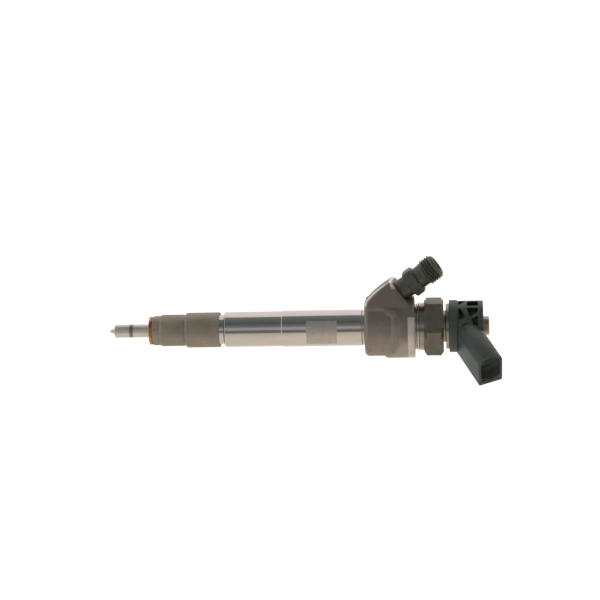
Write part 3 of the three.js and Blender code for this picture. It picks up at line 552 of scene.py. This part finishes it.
edge_highlight_layer = bm.verts.layers.float.new("trimmed_and_highlight")
turned = bm.verts.layers.float.new("turned")
bm.normal_update()
# Painted highlight along the boss's edges, partly the bright trimmed metal: it is weighted to where the edges
# would catch the bright studio, and left off the lower face edge beside the stem.
for v in bm.verts:
    outside = smooth((v.co.xy.length / MM - HEAD_R - 0.9) / 0.8)
    slant, lean = abs(v.normal.dot(across)), v.normal.dot(inlet_axis)
    back_edge, face_edge = [
        smooth((part - 0.22) / 0.15) * smooth((0.97 - part) / 0.12) for part in (slant, lean)
    ]
    near_top = smooth((v.co.dot(outwards) / MM - BOSS_REACH + 5.5) / 1.5)
    v[edge_highlight_layer] = max(back_edge * (1 - smooth(lean / 0.2)), face_edge * near_top) * outside
    v[turned] = 1 - smooth((v.co.xy.length / MM - HEAD_UPPER_R + 0.2) / 0.5)

forged, tree, surface = new_material("blasted_forged_steel", Metallic=0.8)
# The round part is turned, then blasted to a satin skin with fine pits. Scale clouds it in patches.
clouds = patterned(tree, (5, 5, 8), detail=5)
turned_share = add_node(tree, "ShaderNodeAttribute", attribute_name="turned").outputs["Fac"]
turning = add_node(tree, "ShaderNodeMath", {
    0: patterned(tree, (16, 16, 0.6), detail=3), 1: turned_share,
}, operation="MULTIPLY").outputs[0]
skin = add_node(tree, "ShaderNodeMath", {0: clouds, 1: turning}, operation="ADD").outputs[0]
skin = add_node(tree, "ShaderNodeMapRange", {
    "Value": skin, "From Min": 0.4, "From Max": 1.3, "To Min": 0.0, "To Max": 1.0,
}).outputs["Result"]
cloudy = add_node(tree, "ShaderNodeValToRGB", {"Fac": skin}, [(0.2, "#867E76"), (0.8, "#9C948B")])
# The boss edges mix towards a near-white: partly bright trimmed metal, partly painted highlight.
trimmed_highlight_share = add_node(tree, "ShaderNodeAttribute", attribute_name="trimmed_and_highlight").outputs["Fac"]
colour = add_node(tree, "ShaderNodeMix", {
    0: trimmed_highlight_share, 6: cloudy.outputs["Color"], 7: linear("#EFEAE2"),
}, data_type="RGBA")
tree.links.new(colour.outputs[2], surface.inputs["Base Color"])
rough = add_node(tree, "ShaderNodeMapRange", {
    "Value": trimmed_highlight_share, "From Min": 0.0, "From Max": 1.0, "To Min": 0.5, "To Max": 0.32,
})
tree.links.new(rough.outputs["Result"], surface.inputs["Roughness"])
pits = patterned(tree, (0.28, 0.28, 0.28), detail=3)
pitted = add_node(tree, "ShaderNodeMath", {0: pits, 1: turning}, operation="ADD").outputs[0]
relief = add_node(tree, "ShaderNodeBump", {"Height": pitted, "Distance": 0.018 * MM, "Strength": 0.3})
tree.links.new(relief.outputs["Normal"], surface.inputs["Normal"])
finished(bm, "forged_head", forged, ["injector_body"], sharp=40)

band_steel = turned_metal("turned_band_steel", "#C4BDB5", "#D9D2CA", 0.35, line_mm=0.25,
                          depth_mm=0.006, patch_mm=5, metallic=0.5)
BAND_LOW, BAND_BORE_R = 138.6, 12.6
BAND_CLEAR = 67  # half the angle that the boss side keeps unturned
bm = lathe(eased([
    (HEAD_R - 1, BAND_LOW),
    (HEAD_UPPER_R + 0.05, BAND_LOW, 0.05),
    (HEAD_UPPER_R + 0.05, HEAD_TOP, 0.5),
    (BAND_BORE_R, HEAD_TOP, 0.1),
    (BAND_BORE_R, BAND_LOW),
], 0.05, ring=True), steps=150, ring=True, sweep=360 - 2 * BAND_CLEAR)
finished(bm, "turned_band", band_steel, ["injector_body"],
         place=Matrix.Rotation(math.radians(BOSS_AZIMUTH + BAND_CLEAR), 4, "Z"))

# ------------------------------------------------------------------ threaded collar
# The turned end of the body that takes the union nut: a relief groove and a fine thread, left
# bright from the tool.

COLLAR_R = 12.85
union_low, union_top, _ = span("solenoid_nut")


def thread_ridge(root_r, crest_r, pitch, low, high, steps_per_turn=72, runout=0.6):
    """The helical ridge of a thread as a closed bmesh, fading into the root at both ends."""
    turns = (high - low) / pitch - 1
    steps = round(turns * steps_per_turn)
    flank, crest = pitch * 0.48, pitch * 0.07
    section = [(root_r - 0.3, -flank), (root_r, -flank), (crest_r, -crest), (crest_r, crest), (root_r, flank),
               (root_r - 0.3, flank)]
    bm = bmesh.new()
    start = low + pitch / 2
    points = [bm.verts.new((r * MM, 0, (start + z) * MM)) for r, z in section]
    edges = [bm.edges.new(pair) for pair in zip(points, points[1:] + points[:1])]
    bmesh.ops.spin(bm, geom=points + edges, cent=(0, 0, 0), axis=(0, 0, 1),
                   angle=steps / steps_per_turn * 2 * math.pi, steps=steps,
                   dvec=(0, 0, pitch / steps_per_turn * MM), use_merge=False)
    bm.verts.index_update()
    fade_steps = runout * steps_per_turn
    for v in bm.verts:
        step = v.index // len(section)
        fade = min(step, steps - step) / fade_steps
        radius = v.co.xy.length / MM
        if fade < 1 and radius > root_r - 0.1:
            v.co.xy *= (root_r - 0.1 + (radius - root_r + 0.1) * max(fade, 0)) / radius
    bmesh.ops.holes_fill(bm, edges=[e for e in bm.edges if e.is_boundary])
    bmesh.ops.recalc_face_normals(bm, faces=bm.faces)
    return bm


collar_steel = turned_metal("turned_collar_steel", "#BEB9B3", "#D8D3CD", 0.2, line_mm=0.3,
                            depth_mm=0.006, patch_mm=4)
bm = lathe(eased([
    (MAGNET_ROOM_R, HEAD_TOP - 0.6),
    (COLLAR_R - 0.9, HEAD_TOP - 0.6),
    (COLLAR_R - 0.9, HEAD_TOP + 1.0, 0.2),
    (COLLAR_R - 0.5, HEAD_TOP + 1.3, 0.1),
    (COLLAR_R - 0.5, body_top - 0.5, 0.1),
    (COLLAR_R - 1.0, body_top, 0.1),
    (MAGNET_ROOM_R, body_top),
], 0.05, ring=True), steps=144, ring=True)
bm = added(bm, thread_ridge(COLLAR_R - 0.52, COLLAR_R, 1.0, HEAD_TOP + 1.1, body_top - 0.3))
finished(bm, "threaded_collar", collar_steel, ["injector_body"])

# ------------------------------------------------------------------ fuel inlet connector
# The screwed-in pressure connection: hexagon, relief and an M14 fine thread that ends in a chamfer
# round the sealing cone. Zinc phosphate makes it dark olive grey, rubbed lighter in spots.

INLET_STEM_START = 28.3
HEX_START, HEX_END = 39.4, 45.2
HEX_FLATS = 14.0
HEX_CORNER_AZIMUTH = 30
THREAD_START, INLET_END = 48.9, 57.8
INLET_R, INLET_STEM_R, INLET_RELIEF_R = 7.0, 5.75, 5.85
THREAD_PITCH = 1.5
THREAD_ROOT_R = 6.15
END_FACE_R, CONE_R, CONE_DEPTH = 5.2, 4.4, 4.2
FILTER_ROOM_R, FILTER_ROOM_START, INLET_BORE_R = 2.1, 35.0, 1.25


def phosphated(name, dark, light, roughness, worn="#8F897C"):
    """Phosphated steel: crystalline, mottled, a little lighter where tools and threads rub it."""
    material, tree, surface = new_material(name, Metallic=0.6)
    mottle = patterned(tree, (3, 3, 3), detail=3)
    grain = patterned(tree, (0.14, 0.14, 0.14), detail=2)
    stops = [(0.25, dark), (0.75, light), (0.95, worn)]
    skinned(tree, surface, mottle, stops, grain, (roughness * 0.85, roughness * 1.2), 0.012, 0.4)
    return material


inlet_steel = phosphated("phosphated_inlet_steel", "#57564F", "#67665E", 0.42)
bm = lathe(eased([
    (INLET_BORE_R, INLET_STEM_START),
    (INLET_STEM_R, INLET_STEM_START),
    (INLET_STEM_R, HEX_START + 0.4),
    (INLET_STEM_R, HEX_END - 0.4),
    (INLET_RELIEF_R, HEX_END, 0.3),
    (INLET_RELIEF_R, THREAD_START, 0.2),
    (THREAD_ROOT_R, THREAD_START + 0.4),
    (THREAD_ROOT_R, INLET_END - 1.0, 0.1),
    (END_FACE_R, INLET_END, 0.15),
    (CONE_R, INLET_END, 0.1),
    (FILTER_ROOM_R, INLET_END - CONE_DEPTH, 0.1),
    (FILTER_ROOM_R, FILTER_ROOM_START),
    (INLET_BORE_R, FILTER_ROOM_START),
], 0.05, ring=True), steps=96, ring=True)
hexagon = lathe(eased([
    (INLET_STEM_R - 0.4, HEX_START),
    (HEX_FLATS / 2 - 0.25, HEX_START, 0.1),
    (HEX_FLATS / 2 + 1.15, HEX_START + 0.75, 0.1),
    (HEX_FLATS / 2 + 1.15, HEX_END - 0.75, 0.1),
    (HEX_FLATS / 2 - 0.25, HEX_END, 0.1),
    (INLET_STEM_R - 0.4, HEX_END),
], 0.05, ring=True), steps=240, ring=True)
bm = added(bm, flattened(hexagon, HEX_FLATS, HEX_CORNER_AZIMUTH + 30, 6, HEX_START, HEX_END))
bm = added(bm, thread_ridge(THREAD_ROOT_R, INLET_R, THREAD_PITCH, THREAD_START, INLET_END - 0.2, runout=0.45))
CHAMFER_SLOPE = 1.0
for v in bm.verts:
    limit = (END_FACE_R + (INLET_END * MM - v.co.z) / MM * CHAMFER_SLOPE) * MM
    if v.co.z > (INLET_END - 2.2) * MM and v.co.xy.length > limit:
        v.co.xy *= limit / v.co.xy.length
finished(bm, "fuel_inlet", inlet_steel, ["fuel_inlet_connector"], sharp=25, place=inlet_place)

# ------------------------------------------------------------------ solenoid union nut
# The hexagonal nut that clamps the magnet group into the head, turned from bar with chamfered
# corners and phosphated like the inlet.

UNION_FLATS = 28.0
UNION_CORNER_AZIMUTH = 32.0
NECK_HOLE_R = 8.6
LID = 3.2

union_steel = phosphated("phosphated_union_steel", "#6A655B", "#79746A", 0.45)
union_corner_r = UNION_FLATS / 2 / math.cos(math.radians(30))
bm = lathe(eased([
    (COLLAR_R + 0.1, union_low, 0.3),
    (UNION_FLATS / 2 - 0.3, union_low, 0.15),
    (union_corner_r + 0.05, union_low + 1.3, 0.1),
    (union_corner_r + 0.05, union_top - 1.3, 0.1),
    (UNION_FLATS / 2 - 0.3, union_top, 0.15),
    (NECK_HOLE_R, union_top, 0.3),
    (NECK_HOLE_R, union_top - LID),
    (COLLAR_R + 0.1, union_top - LID),
], 0.05, ring=True), steps=360, ring=True)
flattened(bm, UNION_FLATS, UNION_CORNER_AZIMUTH + 30, 6, union_low, union_top)
finished(bm, "union_nut", union_steel, ["solenoid_nut"], sharp=22)

# ------------------------------------------------------------------ magnet housing and sleeve ring
# The deep-drawn housing of the magnet. Only its neck shows, with the flanged sleeve ring that the
# cap is moulded against; both carry the brownish passivation of the steel.

housing_low, housing_top, flange_r = span("magnet_housing")
sleeve_low, sleeve_top, sleeve_r = span("sleeve_ring")
HOUSING_NECK_R = 8.4
RETURN_ROOM_R, RETURN_ROOM_START, RETURN_BORE_R = 5.3, 158.0, 1.5

brown_steel = turned_metal("passivated_brown_steel", "#9A8F82", "#BBB1A4", 0.3, line_mm=0.2,
                           depth_mm=0.005, patch_mm=3)
finished(lathe(eased([
    (RETURN_BORE_R, housing_low),
    (flange_r, housing_low),
    (flange_r, union_top - LID),
    (HOUSING_NECK_R, union_top - LID),
    (HOUSING_NECK_R, housing_top),
    (RETURN_ROOM_R, housing_top),
    (RETURN_ROOM_R, RETURN_ROOM_START),
    (RETURN_BORE_R, RETURN_ROOM_START),
], 0.1, ring=True), ring=True), "magnet_neck", brown_steel, ["magnet_housing"])
finished(lathe(eased([
    (HOUSING_NECK_R + 0.1, sleeve_low),
    (sleeve_r, sleeve_low, 0.35),
    (sleeve_r, sleeve_top, 0.15),
    (HOUSING_NECK_R + 0.1, sleeve_top),
], 0.1, ring=True), steps=144, ring=True), "flanged_sleeve", brown_steel, ["sleeve_ring"])

# ------------------------------------------------------------------ connector cap
# A glass-filled polyamide moulding over the magnet's leads: a plain ring at the foot, then a drum
# lightened by deep pockets, so that diagonal webs stiffen it.

CAP_RING_R, CAP_RING_TOP = 13.9, 164.6
CAP_R, CAP_TOP = 13.4, 178.4
CAP_WALL = 2.4
POCKET_FLOOR_R = 10.6
POCKET_CORNER, CAP_EDGE = 0.45, 0.18
STUB_R = 5.0
WEB_START = CAP_RING_TOP + 0.3
WEB_HEIGHT = CAP_TOP - CAP_WALL - WEB_START
FIRST_WEB_AZIMUTH = -40
POCKETS = [
    [(57, 0.04), (76, 0.04), (76, 0.4), (71, 0.36)],
    [(53, 0.44), (66, 0.44), (76, 0.56), (76, 0.98), (53, 0.98)],
    [(45, 0.04), (40, 0.18), (20, 0.36), (14.5, 0.04)],
    [(46, 0.4), (46, 0.96), (33.5, 0.96), (21.5, 0.57)],
    [(24, 0.94), (15.5, 0.64), (1, 0.78), (1, 0.98)],
    [(7, 0.35), (5, 0.56), (-7, 0.47), (-9, 0.27), (0, 0.16)],
]
POCKET_UNITS = [(0, 1, 6), (170, -1, 5), (266, -1, 4)]  # azimuth offset, direction, pockets used

polyamide, tree, surface = new_material("glass_filled_polyamide", IOR=1.53)
# Glass fibres rise to the skin and leave it satin, with faint streaks along the flow of the melt.
flow = patterned(tree, (4, 4, 9), detail=5)
fibres = patterned(tree, (0.22, 0.22, 0.22), detail=2)
skinned(tree, surface, flow, [(0.3, "#36403D"), (0.7, "#434D49")], fibres, (0.36, 0.52), 0.02, 0.35)
recess_shade_polyamide, tree, surface = new_material("polyamide_painted_recess_shade", IOR=1.4)
# Painted shade: the pockets and the socket's inside take a dark, matt copy of the polyamide, so that these
# recesses look shaded.
recess_grain = patterned(tree, (0.5, 0.5, 0.5), detail=3)
skinned(tree, surface, recess_grain, [(0.3, "#161B15"), (0.7, "#20261E")], recess_grain, (0.7, 0.85), 0.01, 0.3)

cap = lathe(eased([
    (HOUSING_NECK_R + 0.15, sleeve_top),
    (CAP_RING_R, sleeve_top, 0.4),
    (CAP_RING_R, CAP_RING_TOP, 0.5),
    (CAP_R, CAP_RING_TOP + 0.05, 0.02),
    (CAP_R, CAP_TOP, 0.6),
    (STUB_R + 0.15, CAP_TOP, 0.2),
    (STUB_R + 0.15, housing_top + 0.2),
    (HOUSING_NECK_R + 0.15, housing_top + 0.2),
], 0.05, ring=True), steps=180, ring=True)
tools = bmesh.new()
for offset, direction, used in POCKET_UNITS:
    for pocket in POCKETS[:used]:
        before = set(tools.verts)
        corners = []
        for degrees, share in pocket:
            angle = math.radians(FIRST_WEB_AZIMUTH - offset - direction * degrees)
            floor_point = Vector((POCKET_FLOOR_R * math.cos(angle), POCKET_FLOOR_R * math.sin(angle),
                                  WEB_START + share * WEB_HEIGHT))
            corners.append(tools.verts.new(floor_point * MM))
        face = tools.faces.new(corners)
        grown = bmesh.ops.extrude_face_region(tools, geom=[face])
        for v in (g for g in grown["geom"] if isinstance(g, bmesh.types.BMVert)):
            v.co.xy *= (CAP_RING_R + 1) / POCKET_FLOOR_R
        fresh = [v for v in tools.verts if v not in before]
        radial = {e for v in fresh for e in v.link_edges
                  if abs(e.verts[0].co.xy.length - e.verts[1].co.xy.length) > MM}
        bmesh.ops.bevel(tools, geom=list(radial), offset=POCKET_CORNER * MM, segments=3, profile=0.5,
                        affect="EDGES", material=-1)
bmesh.ops.recalc_face_normals(tools, faces=tools.faces)
cap = without(cap, tools)
cap = from_modifiers(cap, ("BEVEL", {
    "width": CAP_EDGE * MM, "segments": 2, "limit_method": "ANGLE", "angle_limit": math.radians(40),
    "use_clamp_overlap": True, "harden_normals": False,
}))
# The pocket walls and floors take the painted shade copy of the polyamide.
for face in cap.faces:
    centre = face.calc_center_median()
    in_pocket = (POCKET_FLOOR_R - 0.1) * MM < centre.xy.length < (CAP_R - 0.35) * MM
    if in_pocket and WEB_START < centre.z / MM < CAP_TOP - 1:
        face.material_index = 1
finished(cap, "webbed_cap", [polyamide, recess_shade_polyamide], ["connector_cap"], sharp=35)

# ------------------------------------------------------------------ plug socket
# The socket is moulded in one with the cap and leans outwards: a shroud with one flat and one
# arched side, open at the mouth, with the two contacts standing up from its floor.

SOCKET_TILT = 67
SOCKET_CROSSING = 166.6
SOCKET_START, SOCKET_MOUTH = 5.0, 38.0
SOCKET_DEPTH = 14.0
SOCKET_HALF_WIDTH, SOCKET_HALF_HEIGHT, ARCH_RISE = 6.7, 9.3, 5.0
SOCKET_WALL = 1.1
OUTER_CORNER, INNER_CORNER = 1.2, 3.4
SOCKET_EDGE = 0.22
socket_place = (Matrix.Translation((0, 0, SOCKET_CROSSING * MM))
                @ Matrix.Rotation(math.radians(SOCKET_TILT), 4, "Y"))


def arched_prism(bm, wall, corner, low, high):
    """The socket's section less a wall, closed at its foot and open at its top, and its top loop."""
    half_width, half_height, rise = SOCKET_HALF_WIDTH - wall, SOCKET_HALF_HEIGHT - wall, ARCH_RISE - wall / 2
    section = [(half_width, half_height), (-half_width, half_height)]
    for k in range(33):
        angle = math.pi + math.pi * k / 32
        section.append((half_width * math.cos(angle), rise - half_height + rise * math.sin(angle)))
    end = bm.faces.new([bm.verts.new((x * MM, y * MM, low * MM)) for x, y in section])
    turns = [v for v in end.verts if v.co.y > (half_height - 0.1) * MM]
    bmesh.ops.bevel(bm, geom=turns, offset=corner * MM, segments=8, profile=0.5, affect="VERTICES",
                    material=-1)
    foot_face = next(f for f in bm.faces if abs(f.calc_center_median().z - low * MM) < 1e-7)
    walls = bmesh.ops.extrude_edge_only(bm, edges=foot_face.edges[:])
    loop = [g for g in walls["geom"] if isinstance(g, bmesh.types.BMVert)]
    bmesh.ops.translate(bm, vec=(0, 0, (high - low) * MM), verts=loop)
    return [g for g in walls["geom"] if isinstance(g, bmesh.types.BMEdge) and all(v in loop for v in g.verts)]


bm = bmesh.new()
outer = arched_prism(bm, 0, OUTER_CORNER, SOCKET_START, SOCKET_MOUTH)
inner = arched_prism(bm, SOCKET_WALL, INNER_CORNER, SOCKET_MOUTH - SOCKET_DEPTH, SOCKET_MOUTH)
bmesh.ops.bridge_loops(bm, edges=outer + inner)
bmesh.ops.recalc_face_normals(bm, faces=bm.faces)
edges = [e for e in bm.edges if e.is_manifold and e.calc_face_angle() > math.radians(50)]
bmesh.ops.bevel(bm, geom=edges, offset=SOCKET_EDGE * MM, segments=2, profile=0.5, affect="EDGES", material=-1)
# The socket's inside takes the painted shade copy of the polyamide.
for face in bm.faces:
    centre = face.calc_center_median()
    inside = (abs(centre.x) < (SOCKET_HALF_WIDTH - SOCKET_WALL + 0.05) * MM
              and abs(centre.y) < (SOCKET_HALF_HEIGHT - SOCKET_WALL + 0.05) * MM)
    if inside and (SOCKET_MOUTH - SOCKET_DEPTH - 0.5) * MM < centre.z < (SOCKET_MOUTH - 0.4) * MM:
        face.material_index = 1
finished(bm, "plug_socket", [polyamide, recess_shade_polyamide], ["connector_cap"], place=socket_place)

contact_metal = turned_metal("tinned_brass_strip", "#A9A496", "#D6D1C4", 0.3, line_mm=0.4, patch_mm=1)
BLADE_WIDTH, BLADE_THICKNESS, BLADE_SPACING = 2.3, 0.8, 5.0
BLADE_START, BLADE_TOP = 9.0, SOCKET_MOUTH - SOCKET_DEPTH + 7.5
for i, side in enumerate((-1, 1)):
    bm = bmesh.new()
    bmesh.ops.create_cube(bm, size=1)
    bmesh.ops.scale(bm, vec=(BLADE_THICKNESS * MM, BLADE_WIDTH * MM, (BLADE_TOP - BLADE_START) * MM),
                    verts=bm.verts)
    bmesh.ops.translate(bm, vec=(0, side * BLADE_SPACING / 2 * MM, (BLADE_TOP + BLADE_START) / 2 * MM),
                        verts=bm.verts)
    top = [f for f in bm.faces if f.normal.z > 0.9]
    bmesh.ops.bevel(bm, geom=[e for f in top for e in f.edges], offset=0.3 * MM, segments=2, profile=0.5,
                    affect="EDGES", material=-1)
    finished(bm, f"contact_blade_{i + 1}", contact_metal, [f"contact_pin_{i + 1}"],
             place=socket_place)

# ------------------------------------------------------------------ return stub
# The turned spigot for the fuel return hose stands out of the cap, with a rolled lip at its mouth.

stub_low, stub_top, stub_r = span("return_stub")
STUB_ROOT_R, STUB_BORE_R = 4.8, 1.6
finished(lathe(eased([
    (STUB_BORE_R, stub_low),
    (STUB_ROOT_R, stub_low),
    (STUB_ROOT_R, housing_top),
    (stub_r, housing_top + 0.3),
    (stub_r, stub_top, 0.6),
    (STUB_BORE_R + 0.6, stub_top, 0.1),
    (STUB_BORE_R, stub_top - 0.6, 0.1),
], 0.08, ring=True), ring=True), "return_spigot", brown_steel, ["return_stub"])

# ------------------------------------------------------------------ inner pieces
# What the body holds: lapped valve and needle parts, spring wire, the sintered magnet, its wound
# coil and moulded spool, and nitrile seals. They keep their frame shapes and take their finishes.

lapped = turned_metal("lapped_bearing_steel", "#9C9C9A", "#BDBDBA", 0.18, line_mm=0.1)
spring_wire = turned_metal("drawn_spring_wire", "#5F6063", "#8A8B8E", 0.32, line_mm=0.5)
sintered, tree, surface = new_material("sintered_soft_iron", Metallic=0.9)
pores = patterned(tree, (0.3, 0.3, 0.3), detail=4)
skinned(tree, surface, pores, [(0.35, "#4A4A4C"), (0.65, "#77777A")], pores, (0.45, 0.65), 0.02)
enamelled = turned_metal("enamelled_copper_wire", "#7A3A1C", "#C0703C", 0.25, line_mm=0.3,
                         depth_mm=0.08)
nitrile, tree, surface = new_material("nitrile_rubber", Metallic=0.0)
bloom = patterned(tree, (0.8, 0.8, 0.8), detail=4)
skinned(tree, surface, bloom, [(0.3, "#141414"), (0.7, "#232322")], bloom, (0.5, 0.7), 0.01)
natural, tree, surface = new_material("natural_polyamide", IOR=1.53)
haze = patterned(tree, (1.5, 1.5, 1.5), detail=4)
skinned(tree, surface, haze, [(0.3, "#A3905F"), (0.7, "#C7B583")], haze, (0.4, 0.55))

SLOT_FINISH = {
    "hard_steel": lapped, "spring_steel": spring_wire, "soft_iron": sintered, "nitrile": nitrile,
    "bobbin_plastic": natural, "dark_steel": nut_steel, "copper": copper, "olive_steel": inlet_steel,
    "brown_steel": brown_steel, "ground_steel": shaft_steel, "cap_plastic": polyamide,
    "tinned_contact": contact_metal,
}
slots = {part["node"]: part["material_slot"] for part in frame["record"]["subparts"]}
for name, inner in frame["nodes"].items():
    look = enamelled if name == "coil_winding" else SLOT_FINISH[slots[name]]
    inner.data.materials.clear()
    inner.data.materials.append(look)

# ------------------------------------------------------------------ floor, light and camera
# A plain pale floor under the tip and an even white studio. The tent has a dark gap round the
# camera and a bright table side, which is what draws the long bands on the ground shaft.

FLOOR_R = 0.45
FLOOR_GAP = 0.2 * MM
low = cad_bounds[0]
bm = bmesh.new()
bmesh.ops.create_circle(bm, cap_ends=True, segments=96, radius=FLOOR_R)
floor_mesh = bpy.data.meshes.new("floor")
bm.to_mesh(floor_mesh)
bm.free()
floor = bpy.data.objects.new("floor", floor_mesh)
floor.location = (0, 0, low[2] - FLOOR_GAP)
bpy.context.scene.collection.objects.link(floor)
floor.visible_glossy = False
pale, tree, surface = new_material("pale_floor", Roughness=0.9)
surface.inputs["Base Color"].default_value = linear("#F4F2EF")
surface.inputs["Emission Color"].default_value = (1, 1, 1, 1)
surface.inputs["Emission Strength"].default_value = 0.55
floor_mesh.materials.append(pale)

VIEW_AZIMUTH = 50
VIEW_ELEVATION = 3.9
towards = math.radians(VIEW_AZIMUTH - 90)
world = bpy.data.worlds.new("studio")
bpy.context.scene.world = world
world.use_nodes = True
tree = world.node_tree
tree.nodes.clear()
direction = add_node(tree, "ShaderNodeTexCoord").outputs["Generated"]
turned = add_node(tree, "ShaderNodeVectorRotate", {
    "Vector": direction, "Angle": -towards,
}, rotation_type="Z_AXIS")
parts = add_node(tree, "ShaderNodeSeparateXYZ", {"Vector": turned.outputs["Vector"]})
angle = add_node(tree, "ShaderNodeMath", {0: parts.outputs["Y"], 1: parts.outputs["X"]}, operation="ARCTAN2")
share = add_node(tree, "ShaderNodeMapRange", {
    "Value": angle.outputs[0], "From Min": -math.pi, "From Max": math.pi,
}).outputs["Result"]


def at(degrees):
    """Place on the ramp of a direction, counted from the camera towards the table side."""
    return (degrees + 180) / 360


TENT = [
    (at(-180), "#E9E3E0"), (at(-146), "#F2EBE8"), (at(-92), "#EDE4E1"), (at(-84), "#787E7C"),
    (at(-70), "#6A7372"), (at(-36), "#585A55"), (at(-14), "#7A7A76"), (at(-6), "#A6A6AA"),
    (at(4), "#A6A6AA"), (at(10), "#72726E"), (at(24), "#72726A"), (at(31), "#C8C2B6"),
    (at(60), "#DCD2C4"), (at(120), "#E0D4C4"), (at(150), "#E9E1D8"), (at(180), "#E9E3E0"),
]
ring = add_node(tree, "ShaderNodeValToRGB", {"Fac": share}, TENT).outputs["Color"]
overhead = add_node(tree, "ShaderNodeMapRange", {
    "Value": add_node(tree, "ShaderNodeMath", {0: parts.outputs["Z"]}, operation="ABSOLUTE").outputs[0],
    "From Min": 0.5, "From Max": 0.9,
}, interpolation_type="SMOOTHSTEP").outputs["Result"]
tent = add_node(tree, "ShaderNodeMix", {0: overhead, 6: ring, 7: linear("#CFCBC6")}, data_type="RGBA")
lit = add_node(tree, "ShaderNodeBackground", {"Color": tent.outputs[2], "Strength": 1.0})
seen = add_node(tree, "ShaderNodeBackground", {"Color": (1, 1, 1, 1), "Strength": 1.1})
eye = add_node(tree, "ShaderNodeLightPath").outputs["Is Camera Ray"]
both = add_node(tree, "ShaderNodeMixShader", {0: eye, 1: lit.outputs[0], 2: seen.outputs[0]})
add_node(tree, "ShaderNodeOutputWorld", {"Surface": both.outputs[0]})

key = bpy.data.objects.new("key", bpy.data.lights.new("key", "AREA"))
key.data.shape = "RECTANGLE"
key.data.size, key.data.size_y = 0.5, 0.8
key.data.energy = 3.0
key.visible_camera = False
key.visible_glossy = False
bpy.context.scene.collection.objects.link(key)

toward = Vector((math.cos(towards) * math.cos(math.radians(VIEW_ELEVATION)),
                 math.sin(towards) * math.cos(math.radians(VIEW_ELEVATION)),
                 math.sin(math.radians(VIEW_ELEVATION))))
along = (Vector((0, 0, 1)) - toward * toward.z).normalized()
upward = toward.cross(along)
KEY_RISE, KEY_SETBACK = 0.7, 0.35
KEY_AIM = Vector((0, 0, 0.09))
key_place = Vector((0, 0, 0.1)) + upward * KEY_RISE - toward * KEY_SETBACK
key_turn = (key_place - KEY_AIM).to_track_quat("Z", "Y").to_matrix().to_4x4()
key.matrix_world = Matrix.Translation(key_place) @ key_turn

LENS = 129
SENSOR = 36
FRAME_WIDTH = 0.321  # what the picture spans at the injector
AXIS_RISE = 0.95  # degrees that the injector climbs to the right
distance = FRAME_WIDTH * LENS / SENSOR
AIM_HEIGHT, AIM_RISE = 0.081, 0.0152
aim = Vector((0, 0, AIM_HEIGHT)) + upward * AIM_RISE
roll = math.radians(AXIS_RISE)
right = along * math.cos(roll) - upward * math.sin(roll)
top = upward * math.cos(roll) + along * math.sin(roll)
camera = bpy.data.objects.new("camera", bpy.data.cameras.new("camera"))
camera.data.lens = LENS
camera.data.sensor_width = SENSOR
camera.data.clip_end = 20
bpy.context.scene.collection.objects.link(camera)
pose = Matrix((right, top, toward)).transposed().to_4x4()
camera.matrix_world = Matrix.Translation(aim + toward * distance) @ pose
bpy.context.scene.camera = camera
bpy.context.scene.view_settings.view_transform = "Standard"
